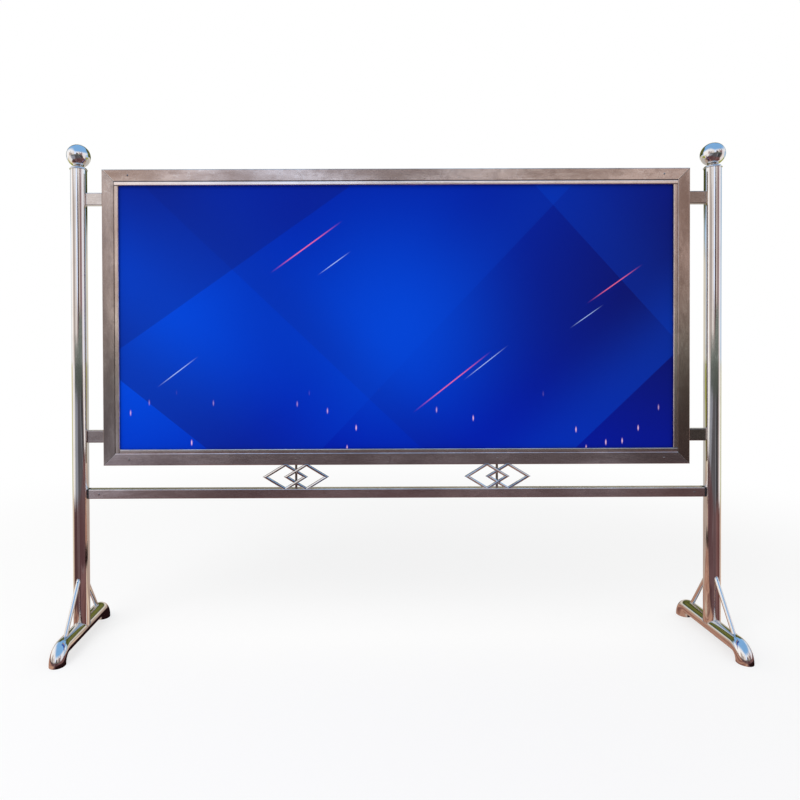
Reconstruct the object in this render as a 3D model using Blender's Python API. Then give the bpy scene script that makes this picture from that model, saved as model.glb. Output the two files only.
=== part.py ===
"""Free-standing outdoor notice board in stainless steel.

A wide framed panel hangs between two round posts. Each post stands on a bent-tube foot with two
braces and carries a ball finial. A square crossbar below the frame holds two ornaments, each of
two interlocked rhombi. Units are metres. X runs along the board, the front faces -Y and Z is up.
The origin is on the ground, midway between the posts.
"""

import math

import bmesh
import bpy
from mathutils import Matrix, Vector

# Fits
GAP = 0.0003
DRILL_CLEARANCE = 0.0003
CUTTER_OVERSHOOT = 0.002

# Facets
POST_SIDES = 40
FOOT_SIDES = 32
BRACE_SIDES = 20
BALL_SIDES = 32
SCREW_SIDES = 12
ROD_SIDES = 20
RHOMBUS_SIDES = 16
CORNER_STEPS = 2
BAR_BAYS = 4

# Frame of the board
FRAME_WIDTH = 2.400
FRAME_HEIGHT = 1.209
FRAME_BOTTOM = 0.714
FRAME_TO_POST = 0.0635
BOARD_SET_BACK = 0.008
RAIL_FACE = 0.050
RAIL_DEPTH = 0.030
RAIL_WALL = 0.0015
RAIL_CORNER = 0.003
KEY_WIDTH = 0.038
KEY_LEG = 0.130
KEY_THICKNESS = 0.003

# Panel and the strips that hold it
BEAD_WIDTH = 0.017
BEAD_WALL = 0.0012
BEAD_REVEAL = 0.001
BEAD_CREST = 0.005
BEAD_LIP = 0.0025
BEAD_STEPS = 6
POSTER_THICKNESS = 0.001
BACKING_THICKNESS = 0.004
BACK_SHEET_THICKNESS = 0.001

# Posts, finials and the tubes that join them to the frame
POST_DIAMETER = 0.063
POST_WALL = 0.002
POST_ABOVE_FRAME = -0.002
CONNECTOR_HEIGHT = 0.050
CONNECTOR_DEPTH = 0.025
CONNECTOR_WALL = 0.0015
CONNECTOR_CORNER = 0.0025
CONNECTOR_INSET = 0.119
CAP_RIM_DIAMETER = 0.069
CAP_RIM_THICKNESS = 0.0035
CAP_RIM_ROUNDING = 0.001
CAP_HEIGHT = 0.0125
CAP_WALL = 0.002
CAP_SPIGOT_LENGTH = 0.030
CAP_HOLE_DIAMETER = 0.018
NECK_DIAMETER = 0.034
NECK_HEIGHT = 0.0025
DOME_STEPS = 4
BALL_DIAMETER = 0.092
BALL_WALL = 0.0015
BALL_MOUTH_DIAMETER = 0.024
BALL_STEPS = 12
BALL_INNER_STEPS = 6

# Feet and braces
FOOT_DIAMETER = 0.060
FOOT_WALL = 0.002
FOOT_AXIS_HEIGHT = 0.050
TOE_REACH = 0.1985
TOE_COLLAR = 0.004
TOE_STEPS = 6
TOE_INNER_STEPS = 3
TOE_DISC_THICKNESS = 0.003
POST_SKIRT_ABOVE_FOOT_AXIS = 0.008
BRACE_DIAMETER = 0.016
BRACE_WALL = 0.0015
BRACE_TOP = 0.244
BRACE_TO_BEND = 0.0185
BRACE_VENT_DIAMETER = 0.0035

# Crossbar and how it is held
CROSSBAR_SIZE = 0.038
CROSSBAR_WALL = 0.002
CROSSBAR_CORNER = 0.0025
SADDLE_THICKNESS = 0.005
SPIGOT_WALL = 0.0025
SPIGOT_LENGTH = 0.068
CROSSBAR_SCREW_INSET = 0.042

# Ornaments between crossbar and frame
ORNAMENT_SPACE = 0.097
ORNAMENT_OFFSET = 0.413
RHOMBUS_WIDTH = 0.186
RHOMBUS_STAGGER = 0.086
RHOMBUS_TIP_TRIM = 0.0085
RHOMBUS_BAR = 0.012
ROD_DIAMETER = 0.010
ROD_ABOVE_SCREW = 0.012

# Screws
SCREW_HEAD_DIAMETER = 0.008
SCREW_HEAD_HEIGHT = 0.0022
SCREW_SHANK_DIAMETER = 0.0048
SCREW_DOME_STEPS = 3
RAIL_SCREW_LENGTH = 0.021
CROSSBAR_SCREW_LENGTH = 0.012
CORNER_SCREW_INSET = 0.106

# Sizes that follow from the ones above
FRAME_TOP = FRAME_BOTTOM + FRAME_HEIGHT
POST_TOP = FRAME_TOP + POST_ABOVE_FRAME
POST_RADIUS = POST_DIAMETER / 2
POST_AXIS = FRAME_WIDTH / 2 + FRAME_TO_POST + POST_RADIUS
POST_FACE = FRAME_WIDTH / 2 + FRAME_TO_POST
FOOT_RADIUS = FOOT_DIAMETER / 2
FOOT_STRAIGHT = TOE_REACH - (FOOT_AXIS_HEIGHT - TOE_COLLAR)
BRACE_REACH = FOOT_STRAIGHT - BRACE_TO_BEND
FRONT_FACE = -RAIL_DEPTH / 2
PANEL_STACK = POSTER_THICKNESS + BACKING_THICKNESS + BACK_SHEET_THICKNESS + 4 * GAP
BEAD_DEPTH = (RAIL_DEPTH - PANEL_STACK) / 2
MITRE_GAP = GAP / math.sqrt(2)
CROSSBAR_TOP = FRAME_BOTTOM - ORNAMENT_SPACE
CROSSBAR_HEIGHT = CROSSBAR_TOP - CROSSBAR_SIZE / 2
CROSSBAR_END = POST_FACE - SADDLE_THICKNESS
RAIL_SCREW_HEIGHT = FRAME_BOTTOM + RAIL_FACE / 2
TOP_SCREW_HEIGHT = FRAME_TOP - RAIL_FACE / 2
CORNER_SCREW_X = FRAME_WIDTH / 2 - CORNER_SCREW_INSET

# Looks: base colour, roughness and metallic value
MIRROR_STEEL = ((0.62, 0.57, 0.54), 0.12, 1.0)
SATIN_STEEL = ((0.48, 0.42, 0.39), 0.30, 1.0)
BRIGHT_TRIM = ((0.78, 0.70, 0.68), 0.18, 1.0)
SCREW_STEEL = ((0.25, 0.23, 0.22), 0.35, 1.0)
ZINC_STEEL = ((0.50, 0.51, 0.52), 0.45, 1.0)
BLACK_RUBBER = ((0.012, 0.012, 0.013), 0.60, 0.0)
PRINTED_SHEET = ((0.008, 0.035, 0.30), 0.35, 0.0)
PLASTIC_BOARD = ((0.60, 0.60, 0.58), 0.55, 0.0)


def clear_scene():
    for item in list(bpy.data.objects):
        bpy.data.objects.remove(item, do_unlink=True)


def material(name, look):
    colour, roughness, metallic = look
    made = bpy.data.materials.new(name)
    made.use_nodes = True
    shader = made.node_tree.nodes["Principled BSDF"]
    shader.inputs["Base Color"].default_value = (*colour, 1.0)
    shader.inputs["Roughness"].default_value = roughness
    shader.inputs["Metallic"].default_value = metallic
    return made


def empty(name, location):
    """A group that pieces hang from."""
    made = bpy.data.objects.new(name, None)
    made.location = location
    bpy.context.collection.objects.link(made)
    return made


def add_piece(name, mesh, look, parent, location=(0, 0, 0), turn=0.0):
    """One piece of the object, with its own material, placed in its group and turned about Z."""
    made = bpy.data.objects.new(name, mesh)
    bpy.context.collection.objects.link(made)
    made.parent = parent
    made.location = location
    made.rotation_euler = (0, 0, turn)
    if not mesh.materials:
        mesh.materials.append(None)
    made.material_slots[0].link = 'OBJECT'
    made.material_slots[0].material = material(name + "_finish", look)
    return made


def add_cutter(name, mesh, parent=None, location=(0, 0, 0)):
    made = bpy.data.objects.new(name, mesh)
    bpy.context.collection.objects.link(made)
    made.parent = parent
    made.location = location
    made.hide_render = True
    made.display_type = 'WIRE'
    return made


def cut(target, cutter):
    step = target.modifiers.new(cutter.name, 'BOOLEAN')
    step.operation = 'DIFFERENCE'
    step.solver = 'EXACT'
    step.object = cutter


def to_mesh(name, work):
    """Closes the work on a bmesh: faces outward, round walls smooth and edges crisp."""
    bmesh.ops.recalc_face_normals(work, faces=work.faces)
    mesh = bpy.data.meshes.new(name)
    work.to_mesh(mesh)
    work.free()
    mesh.shade_smooth()
    mesh.set_sharp_from_angle(angle=math.radians(35))
    return mesh


def rounded_rectangle(width, height, radius):
    """Corner points of a centred rectangle whose corners are arcs."""
    points = []
    for quarter in range(4):
        sign_x = (1, -1, -1, 1)[quarter]
        sign_y = (1, 1, -1, -1)[quarter]
        centre_x = sign_x * (width / 2 - radius)
        centre_y = sign_y * (height / 2 - radius)
        for step in range(CORNER_STEPS + 1):
            angle = math.radians(90) * (quarter + step / CORNER_STEPS)
            points.append((centre_x + radius * math.cos(angle), centre_y + radius * math.sin(angle)))
    return points


def circle_points(radius, sides, place):
    return [place @ Vector((radius * math.cos(2 * math.pi * i / sides),
                            radius * math.sin(2 * math.pi * i / sides), 0)) for i in range(sides)]


def wall_section(work, outer, inner):
    """The cut face of a tube's wall, as a ring of faces between two outlines."""
    outer_verts = [work.verts.new(point) for point in outer]
    inner_verts = [work.verts.new(point) for point in inner]
    return [work.faces.new((outer_verts[i - 1], outer_verts[i], inner_verts[i], inner_verts[i - 1]))
            for i in range(len(outer))]


def extrude_faces(work, faces, run):
    """Draws faces along a vector into a solid. Returns the far end's verts."""
    made = bmesh.ops.extrude_face_region(work, geom=faces)["geom"]
    verts = [item for item in made if isinstance(item, bmesh.types.BMVert)]
    bmesh.ops.translate(work, verts=verts, vec=run)
    return verts


def split_bays(work, start, run):
    """Splits a long bar's faces square across, so that its drilled holes lie in separate faces."""
    for bay in range(1, BAR_BAYS):
        bmesh.ops.bisect_plane(work, geom=work.verts[:] + work.edges[:] + work.faces[:],
                               plane_co=start + run * bay / BAR_BAYS, plane_no=run)


def hollow_bar(name, outer, inner, run, long_bar=False):
    """A tube of any section: an outer and an inner outline drawn along the run, with open ends."""
    work = bmesh.new()
    extrude_faces(work, wall_section(work, outer, inner), run)
    if long_bar:
        split_bays(work, outer[0], run)
    return to_mesh(name, work)


def round_tube(name, diameter, wall, start, end, sides):
    run = Vector(end) - Vector(start)
    place = Matrix.Translation(start) @ run.to_track_quat('Z', 'Y').to_matrix().to_4x4()
    outer = circle_points(diameter / 2, sides, place)
    inner = circle_points(diameter / 2 - wall, sides, place)
    return hollow_bar(name, outer, inner, run)


def square_tube(name, size_y, size_z, wall, corner, start_x, end_x, long_bar=False):
    """A rectangular tube along X with rounded edges."""
    outer = [Vector((start_x, y, z)) for y, z in rounded_rectangle(size_y, size_z, corner)]
    inner_corner = max(corner - wall, wall / 3)
    inner = [Vector((start_x, y, z)) for y, z in
             rounded_rectangle(size_y - 2 * wall, size_z - 2 * wall, inner_corner)]
    return hollow_bar(name, outer, inner, Vector((end_x - start_x, 0, 0)), long_bar)


def prism(name, outline, run):
    """A closed outline drawn along a vector into a solid with flat ends."""
    work = bmesh.new()
    extrude_faces(work, [work.faces.new([work.verts.new(point) for point in outline])], run)
    return to_mesh(name, work)


def add_cylinder(work, radius, start, end, sides):
    """A solid cylinder between two points, added to a mesh in the making."""
    run = Vector(end) - Vector(start)
    turn = run.to_track_quat('Z', 'Y').to_matrix().to_4x4()
    place = Matrix.Translation((Vector(start) + Vector(end)) / 2) @ turn
    bmesh.ops.create_cone(work, cap_ends=True, segments=sides, radius1=radius, radius2=radius,
                          depth=run.length, matrix=place)


def cylinder(name, radius, start, end, sides):
    work = bmesh.new()
    add_cylinder(work, radius, start, end, sides)
    return to_mesh(name, work)


def turned(name, profile, sides):
    """A closed profile of (radius, height) points turned about Z."""
    work = bmesh.new()
    verts = [work.verts.new((radius, 0, height)) for radius, height in profile]
    edges = [work.edges.new((verts[i - 1], verts[i])) for i in range(len(verts))]
    bmesh.ops.spin(work, geom=verts + edges, axis=(0, 0, 1), cent=(0, 0, 0),
                   angle=2 * math.pi, steps=sides, use_duplicate=False)
    bmesh.ops.remove_doubles(work, verts=work.verts, dist=1e-6)
    loose = [edge for edge in work.edges if not edge.link_faces]
    bmesh.ops.delete(work, geom=loose, context='EDGES')
    return to_mesh(name, work)


def ring_verts(work, points):
    return [work.verts.new(point) for point in points]


def skin_rings(work, rings):
    """A closed solid through successive rings of verts, its first and last ring filled flat."""
    for upper, lower in zip(rings, rings[1:]):
        for i in range(len(upper)):
            work.faces.new((upper[i - 1], upper[i], lower[i], lower[i - 1]))
    work.faces.new(rings[0])
    work.faces.new(rings[-1])


def shared(build):
    """Builds a mesh once, so that like pieces share it."""
    kept = {}

    def get(*sizes):
        if sizes not in kept:
            kept[sizes] = build(*sizes)
        return kept[sizes]

    return get


@shared
def screw_mesh(shank_length):
    """A pan-head screw that faces -Y, with the underside of its head a gap before the origin."""
    head_radius = SCREW_HEAD_DIAMETER / 2
    shank_radius = SCREW_SHANK_DIAMETER / 2
    profile = []
    for step in range(1, SCREW_DOME_STEPS + 1):
        angle = math.radians(90) * (1 - step / SCREW_DOME_STEPS)
        profile.append((head_radius * math.cos(angle), GAP + SCREW_HEAD_HEIGHT * math.sin(angle)))
    profile += [(shank_radius, GAP), (shank_radius, -shank_length)]
    work = bmesh.new()
    face_front = Matrix.Rotation(math.radians(90), 4, 'X')
    skin_rings(work, [ring_verts(work, circle_points(radius, SCREW_SIDES,
                                                     face_front @ Matrix.Translation((0, 0, height))))
                      for radius, height in profile])
    return to_mesh("screw", work)


def build_rail(name, board, corner, along, inward, length):
    """A hollow rail along one side of the frame, its ends cut to the mitre.

    The corner is the frame's outer front corner where the rail starts. The outline's first axis
    runs inward from the frame's outer edge and its second runs back from the face.
    """
    work = bmesh.new()
    back = Vector((0, 1, 0))
    outlines = []
    for inset in (0.0, RAIL_WALL):
        radius = max(RAIL_CORNER - inset, RAIL_WALL / 3)
        section = rounded_rectangle(RAIL_FACE - 2 * inset, RAIL_DEPTH - 2 * inset, radius)
        outlines.append([corner + along * (u + RAIL_FACE / 2 + MITRE_GAP)
                         + inward * (u + RAIL_FACE / 2) + back * (v + RAIL_DEPTH / 2)
                         for u, v in section])
    far_verts = extrude_faces(work, wall_section(work, *outlines), along * (length - 2 * MITRE_GAP))
    for vert in far_verts:
        vert.co -= along * 2 * (vert.co - corner).dot(inward)
    split_bays(work, corner, along * length)
    return add_piece(name, to_mesh(name, work), SATIN_STEEL, board)


def bead_outline():
    """Section of a bead as (inward, back): an open channel with a rounded face.

    The crest stands beside the rail and the face rolls down to the panel as a quarter of an
    ellipse. The inner side follows the face one wall behind it.
    """
    outer_in = RAIL_FACE + GAP
    outer_end = RAIL_FACE + BEAD_WIDTH
    roll = outer_end - outer_in - BEAD_CREST
    fall = BEAD_DEPTH - BEAD_REVEAL - BEAD_LIP
    face = []
    for step in range(BEAD_STEPS + 1):
        angle = math.radians(90) * step / BEAD_STEPS
        face.append((outer_in + BEAD_CREST + roll * math.sin(angle),
                     BEAD_REVEAL + fall * (1 - math.cos(angle))))
    inside = []
    for step in range(BEAD_STEPS, -1, -1):
        angle = math.radians(90) * step / BEAD_STEPS
        inside.append((outer_in + BEAD_CREST + (roll - BEAD_WALL) * math.sin(angle),
                       BEAD_REVEAL + BEAD_WALL + (fall - BEAD_WALL) * (1 - math.cos(angle))))
    return ([(outer_in, BEAD_DEPTH), (outer_in, BEAD_REVEAL)] + face
            + [(outer_end, BEAD_DEPTH), (outer_end - BEAD_WALL, BEAD_DEPTH)] + inside
            + [(outer_in + BEAD_WALL, BEAD_REVEAL + BEAD_WALL), (outer_in + BEAD_WALL, BEAD_DEPTH)])


def build_bead(name, board, corner, along, inward, start, end, face_y, back):
    """One strip between a rail and the panel, square-cut at both ends."""
    outline = [corner + along * start + inward * u + Vector((0, face_y, 0)) + back * v
               for u, v in bead_outline()]
    return add_piece(name, prism(name, outline, along * (end - start)), BRIGHT_TRIM, board)


def build_beads(board, side_name, face_y, back):
    """The four strips of one face. Each strip either runs through to the rail or butts.

    The top strip runs through at both ends. The left strip butts under it and runs through at the
    bottom. The bottom strip butts against the left one and runs through at the right, and the
    right strip stands between the top and bottom ones.
    """
    half = FRAME_WIDTH / 2
    rail_end = RAIL_FACE + GAP
    butt_end = RAIL_FACE + BEAD_WIDTH + GAP
    right = Vector((1, 0, 0))
    up = Vector((0, 0, 1))
    bottom_left = Vector((-half, 0, FRAME_BOTTOM))
    bottom_right = Vector((half, 0, FRAME_BOTTOM))
    top_left = Vector((-half, 0, FRAME_TOP))
    build_bead(side_name + "_top_bead", board, top_left, right, -up,
               rail_end, FRAME_WIDTH - rail_end, face_y, back)
    build_bead(side_name + "_left_bead", board, bottom_left, up, right,
               rail_end, FRAME_HEIGHT - butt_end, face_y, back)
    build_bead(side_name + "_bottom_bead", board, bottom_left, right, up,
               butt_end, FRAME_WIDTH - rail_end, face_y, back)
    build_bead(side_name + "_right_bead", board, bottom_right, up, -right,
               butt_end, FRAME_HEIGHT - butt_end, face_y, back)


def build_frame(board):
    """Four mitred rails. Returns them by name."""
    half = FRAME_WIDTH / 2
    right = Vector((1, 0, 0))
    up = Vector((0, 0, 1))
    bottom_left = Vector((-half, FRONT_FACE, FRAME_BOTTOM))
    bottom_right = Vector((half, FRONT_FACE, FRAME_BOTTOM))
    top_left = Vector((-half, FRONT_FACE, FRAME_TOP))
    return {
        "top": build_rail("top_rail", board, top_left, right, -up, FRAME_WIDTH),
        "bottom": build_rail("bottom_rail", board, bottom_left, right, up, FRAME_WIDTH),
        "left": build_rail("left_rail", board, bottom_left, up, right, FRAME_HEIGHT),
        "right": build_rail("right_rail", board, bottom_right, up, -right, FRAME_HEIGHT),
    }


def build_panel(board):
    """The printed sheet, the board behind it and the back sheet, cut to the rails' inner faces."""
    half_width = FRAME_WIDTH / 2 - RAIL_FACE - GAP
    bottom = FRAME_BOTTOM + RAIL_FACE + GAP
    top = FRAME_TOP - RAIL_FACE - GAP
    front = FRONT_FACE + BEAD_DEPTH + GAP
    layers = (("poster_sheet", POSTER_THICKNESS, PRINTED_SHEET),
              ("backing_board", BACKING_THICKNESS, PLASTIC_BOARD),
              ("back_sheet", BACK_SHEET_THICKNESS, ZINC_STEEL))
    for name, thickness, look in layers:
        outline = [Vector((-half_width, front, bottom)), Vector((half_width, front, bottom)),
                   Vector((half_width, front, top)), Vector((-half_width, front, top))]
        add_piece(name, prism(name, outline, Vector((0, thickness, 0))), look, board)
        front += thickness + GAP


def build_corner_keys(board, drill):
    """Angle plates in the rails behind their faces, which the corner screws clamp."""
    front = FRONT_FACE + RAIL_WALL + GAP
    edge = (RAIL_FACE - KEY_WIDTH) / 2
    inner = edge + KEY_WIDTH
    outline = [(edge, edge), (KEY_LEG, edge), (KEY_LEG, inner), (inner, inner),
               (inner, KEY_LEG), (edge, KEY_LEG)]
    for x_name, sign_x in (("left", -1), ("right", 1)):
        for z_name, sign_z, level in (("bottom", 1, FRAME_BOTTOM), ("top", -1, FRAME_TOP)):
            points = [Vector((sign_x * (FRAME_WIDTH / 2 - u), front, level + sign_z * w))
                      for u, w in outline]
            name = f"{x_name}_{z_name}_corner_key"
            key = add_piece(name, prism(name, points, Vector((0, KEY_THICKNESS, 0))),
                            ZINC_STEEL, board)
            cut(key, drill)


def rail_screw_places():
    """Where the rail screws enter: corners of both long rails, and above each ornament's rod."""
    places = {}
    for name, sign in (("left", -1), ("right", 1)):
        places[name + "_top_corner_screw"] = (sign * CORNER_SCREW_X, TOP_SCREW_HEIGHT)
        places[name + "_bottom_corner_screw"] = (sign * CORNER_SCREW_X, RAIL_SCREW_HEIGHT)
        places[name + "_rod_screw"] = (sign * ORNAMENT_OFFSET, RAIL_SCREW_HEIGHT)
    return places


def build_screws(drill_name, board, places, face_y, shank_length):
    """Screws into a front face, by name. Returns the cutter that drills for them."""
    drill = bmesh.new()
    radius = SCREW_SHANK_DIAMETER / 2 + DRILL_CLEARANCE
    for name, (x, z) in places.items():
        add_piece(name, screw_mesh(shank_length), SCREW_STEEL, board, (x, face_y, z))
        add_cylinder(drill, radius, (x, face_y - CUTTER_OVERSHOOT, z),
                     (x, face_y + shank_length + CUTTER_OVERSHOOT, z), SCREW_SIDES)
    return add_cutter(drill_name, to_mesh(drill_name, drill), board)


def build_support(name, x):
    """One post with its finial, foot, toes and braces. Returns the cutter of the post's outside."""
    support = empty(name + "_support", (x, 0, 0))
    post_cutter = add_cutter(
        name + "_post_cutter",
        cylinder(name + "_post_cutter", POST_RADIUS + GAP, (0, 0, 0), (0, 0, POST_TOP), POST_SIDES),
        support)
    foot_cutter = add_cutter(
        name + "_foot_cutter",
        cylinder(name + "_foot_cutter", FOOT_RADIUS + GAP,
                 (0, -TOE_REACH, FOOT_AXIS_HEIGHT), (0, TOE_REACH, FOOT_AXIS_HEIGHT), FOOT_SIDES),
        support)
    post = add_piece(name + "_post", post_mesh(), MIRROR_STEEL, support)
    cut(post, foot_cutter)
    add_piece(name + "_finial_cap", cap_mesh(), MIRROR_STEEL, support, (0, 0, POST_TOP))
    add_piece(name + "_finial_ball", ball_mesh(), MIRROR_STEEL, support, (0, 0, POST_TOP))
    add_piece(name + "_foot_tube", foot_tube_mesh(), MIRROR_STEEL, support)
    for end, turn in (("front", 0.0), ("rear", math.pi)):
        add_piece(f"{name}_{end}_toe", toe_mesh(), MIRROR_STEEL, support, turn=turn)
        vent = add_cutter(f"{name}_{end}_vent_drill", vent_mesh(), support)
        vent.rotation_euler = (0, 0, turn)
        brace = add_piece(f"{name}_{end}_brace", brace_mesh(), MIRROR_STEEL, support, turn=turn)
        for cutter in (post_cutter, foot_cutter, vent):
            cut(brace, cutter)
    return post_cutter


@shared
def post_mesh():
    return round_tube("post", POST_DIAMETER, POST_WALL,
                      (0, 0, FOOT_AXIS_HEIGHT + POST_SKIRT_ABOVE_FOOT_AXIS), (0, 0, POST_TOP),
                      POST_SIDES)


def ball_centre():
    """Height of the ball's centre above the post: its mouth's rim sits on the cap's neck."""
    mouth = BALL_MOUTH_DIAMETER / 2
    return CAP_HEIGHT + GAP + math.sqrt((BALL_DIAMETER / 2) ** 2 - mouth ** 2)


@shared
def cap_mesh():
    """A turned cap: spigot in the post, rim, low dome and a neck dished to the ball."""
    spigot = POST_RADIUS - POST_WALL - GAP
    rim = CAP_RIM_DIAMETER / 2
    rim_top = GAP + CAP_RIM_THICKNESS
    neck = NECK_DIAMETER / 2
    hole = CAP_HOLE_DIAMETER / 2
    seat = BALL_DIAMETER / 2 + GAP
    dish_edge = ball_centre() - math.sqrt(seat ** 2 - neck ** 2)
    dish_low = ball_centre() - math.sqrt(seat ** 2 - hole ** 2)
    neck_base = dish_edge - NECK_HEIGHT
    profile = [(spigot, -CAP_SPIGOT_LENGTH), (spigot, GAP), (rim, GAP),
               (rim, rim_top - CAP_RIM_ROUNDING), (rim - CAP_RIM_ROUNDING, rim_top)]
    for step in range(1, DOME_STEPS + 1):
        angle = math.radians(90) * step / DOME_STEPS
        profile.append((neck + (rim - 2 * CAP_RIM_ROUNDING - neck) * math.cos(angle),
                        rim_top + (neck_base - rim_top) * math.sin(angle)))
    profile += [(neck, dish_edge), (hole, dish_low), (hole, 0.0),
                (spigot - CAP_WALL, 0.0), (spigot - CAP_WALL, -CAP_SPIGOT_LENGTH)]
    return turned("finial_cap", profile, BALL_SIDES)


@shared
def ball_mesh():
    """A hollow ball, open at the mouth that sits on the cap's neck."""
    centre = ball_centre()
    outer = BALL_DIAMETER / 2
    inner = outer - BALL_WALL
    mouth = BALL_MOUTH_DIAMETER / 2
    profile = []
    for radius, steps, order in ((outer, BALL_STEPS, 1), (inner, BALL_INNER_STEPS, -1)):
        start = math.asin(mouth / radius)
        arc = []
        for step in range(steps + 1):
            angle = start + (math.pi - start) * step / steps
            arc.append((abs(radius * math.sin(angle)), centre - radius * math.cos(angle)))
        profile += arc[::order]
    return turned_shell("finial_ball", profile, BALL_SIDES)


def turned_shell(name, profile, sides):
    """An open profile turned about Z, whose ends are joined by a ring at the mouth."""
    work = bmesh.new()
    verts = [work.verts.new((radius, 0, height)) for radius, height in profile]
    edges = [work.edges.new((verts[i], verts[i + 1])) for i in range(len(verts) - 1)
             if verts[i].co.x > 1e-5 or verts[i + 1].co.x > 1e-5]
    edges.append(work.edges.new((verts[-1], verts[0])))
    bmesh.ops.spin(work, geom=verts + edges, axis=(0, 0, 1), cent=(0, 0, 0),
                   angle=2 * math.pi, steps=sides, use_duplicate=False)
    bmesh.ops.remove_doubles(work, verts=work.verts, dist=1e-6)
    bmesh.ops.dissolve_degenerate(work, edges=work.edges, dist=1e-6)
    return to_mesh(name, work)


@shared
def foot_tube_mesh():
    return round_tube("foot_tube", FOOT_DIAMETER, FOOT_WALL, (0, -FOOT_STRAIGHT, FOOT_AXIS_HEIGHT),
                      (0, FOOT_STRAIGHT, FOOT_AXIS_HEIGHT), FOOT_SIDES)


@shared
def toe_mesh():
    """An elbow from the foot tube's front end down to the ground, closed by a welded disc."""
    start = Vector((0, -FOOT_STRAIGHT - GAP, 0))
    upright = Matrix.Rotation(math.radians(90), 4, 'X')
    bend = FOOT_AXIS_HEIGHT - TOE_COLLAR
    work = bmesh.new()
    shells = []
    for radius, floor, steps in ((FOOT_RADIUS, 0.0, TOE_STEPS),
                                 (FOOT_RADIUS - FOOT_WALL, TOE_DISC_THICKNESS, TOE_INNER_STEPS)):
        rings = []
        for step in range(steps + 1):
            turn = Matrix.Rotation(math.radians(90) * step / steps, 4, 'X')
            place = (Matrix.Translation(start + Vector((0, 0, TOE_COLLAR))) @ turn
                     @ Matrix.Translation((0, 0, bend)) @ upright)
            rings.append(circle_points(radius, FOOT_SIDES, place))
        rings.append([Vector((point.x, point.y, floor)) for point in rings[-1]])
        shells.append([ring_verts(work, ring) for ring in rings])
    outer, inner = shells
    skin_rings(work, outer[::-1] + inner)
    return to_mesh("toe", work)


def brace_line():
    """Where the front brace's axis meets the post's face and the foot's top, and its direction."""
    top = Vector((0, -POST_RADIUS, BRACE_TOP))
    bottom = Vector((0, -BRACE_REACH, FOOT_AXIS_HEIGHT + FOOT_RADIUS))
    return top, bottom, (bottom - top).normalized()


@shared
def brace_mesh():
    """A thin tube that runs on into the post and the foot, which then cope its ends."""
    top, bottom, down = brace_line()
    return round_tube("brace", BRACE_DIAMETER, BRACE_WALL, top - down * POST_RADIUS,
                      bottom + down * BRACE_DIAMETER, BRACE_SIDES)


@shared
def vent_mesh():
    """A drill through the brace's outer wall beside its upper end."""
    top, _, down = brace_line()
    outward = Vector((0, down.z, -down.y))
    return cylinder("vent_drill", BRACE_VENT_DIAMETER / 2, top,
                    top + outward * (BRACE_DIAMETER / 2 + CUTTER_OVERSHOOT), SCREW_SIDES)


def build_connectors(board, post_cutters):
    """Four rectangular tubes from the frame's sides to the posts, coped round them."""
    for name, sign in (("left", -1), ("right", 1)):
        start = sign * (FRAME_WIDTH / 2 + GAP)
        mesh = square_tube(name + "_connector", CONNECTOR_DEPTH, CONNECTOR_HEIGHT, CONNECTOR_WALL,
                           CONNECTOR_CORNER, start, sign * POST_AXIS)
        for level, height in (("lower", FRAME_BOTTOM + CONNECTOR_INSET),
                              ("upper", FRAME_TOP - CONNECTOR_INSET)):
            connector = add_piece(f"{name}_{level}_connector", mesh, SATIN_STEEL, board,
                                  (0, 0, height))
            cut(connector, post_cutters[name])


def build_crossbar(board, post_cutters, rod_drill):
    """The square tube under the frame, its pads, the stubs inside its ends and its screws."""
    level = (0, 0, CROSSBAR_HEIGHT)
    crossbar = add_piece("crossbar", square_tube("crossbar", CROSSBAR_SIZE, CROSSBAR_SIZE,
                                                 CROSSBAR_WALL, CROSSBAR_CORNER,
                                                 -CROSSBAR_END, CROSSBAR_END, long_bar=True),
                         SATIN_STEEL, board, level)
    screw_x = CROSSBAR_END - CROSSBAR_SCREW_INSET
    places = {"left_crossbar_screw": (-screw_x, CROSSBAR_HEIGHT),
              "right_crossbar_screw": (screw_x, CROSSBAR_HEIGHT)}
    screw_drill = build_screws("crossbar_drill", board, places, -CROSSBAR_SIZE / 2,
                               CROSSBAR_SCREW_LENGTH)
    cut(crossbar, screw_drill)
    cut(crossbar, rod_drill)
    spigot_size = CROSSBAR_SIZE - 2 * CROSSBAR_WALL - 2 * GAP
    window = spigot_size + 2 * GAP
    for name, sign in (("left", -1), ("right", 1)):
        post = sign * POST_AXIS
        saddle = add_piece(name + "_saddle",
                           square_tube(name + "_saddle", CROSSBAR_SIZE, CROSSBAR_SIZE,
                                       (CROSSBAR_SIZE - window) / 2, CROSSBAR_CORNER,
                                       sign * (CROSSBAR_END + GAP), post),
                           BLACK_RUBBER, board, level)
        cut(saddle, post_cutters[name])
        spigot = add_piece(name + "_crossbar_spigot",
                           square_tube(name + "_crossbar_spigot", spigot_size, spigot_size,
                                       SPIGOT_WALL, CROSSBAR_CORNER,
                                       sign * (POST_FACE - SPIGOT_LENGTH), post),
                           ZINC_STEEL, board, level)
        cut(spigot, post_cutters[name])
        cut(spigot, screw_drill)


def rhombus_points(half_width, half_height, offset_x, y, grow):
    """Corners of a rhombus whose sides stand off by grow, from the right corner upward."""
    side = math.hypot(half_width, half_height)
    scale = 1 + grow * side / (half_width * half_height)
    return [Vector((offset_x + half_width * scale, y, 0)), Vector((offset_x, y, half_height * scale)),
            Vector((offset_x - half_width * scale, y, 0)), Vector((offset_x, y, -half_height * scale))]


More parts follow.
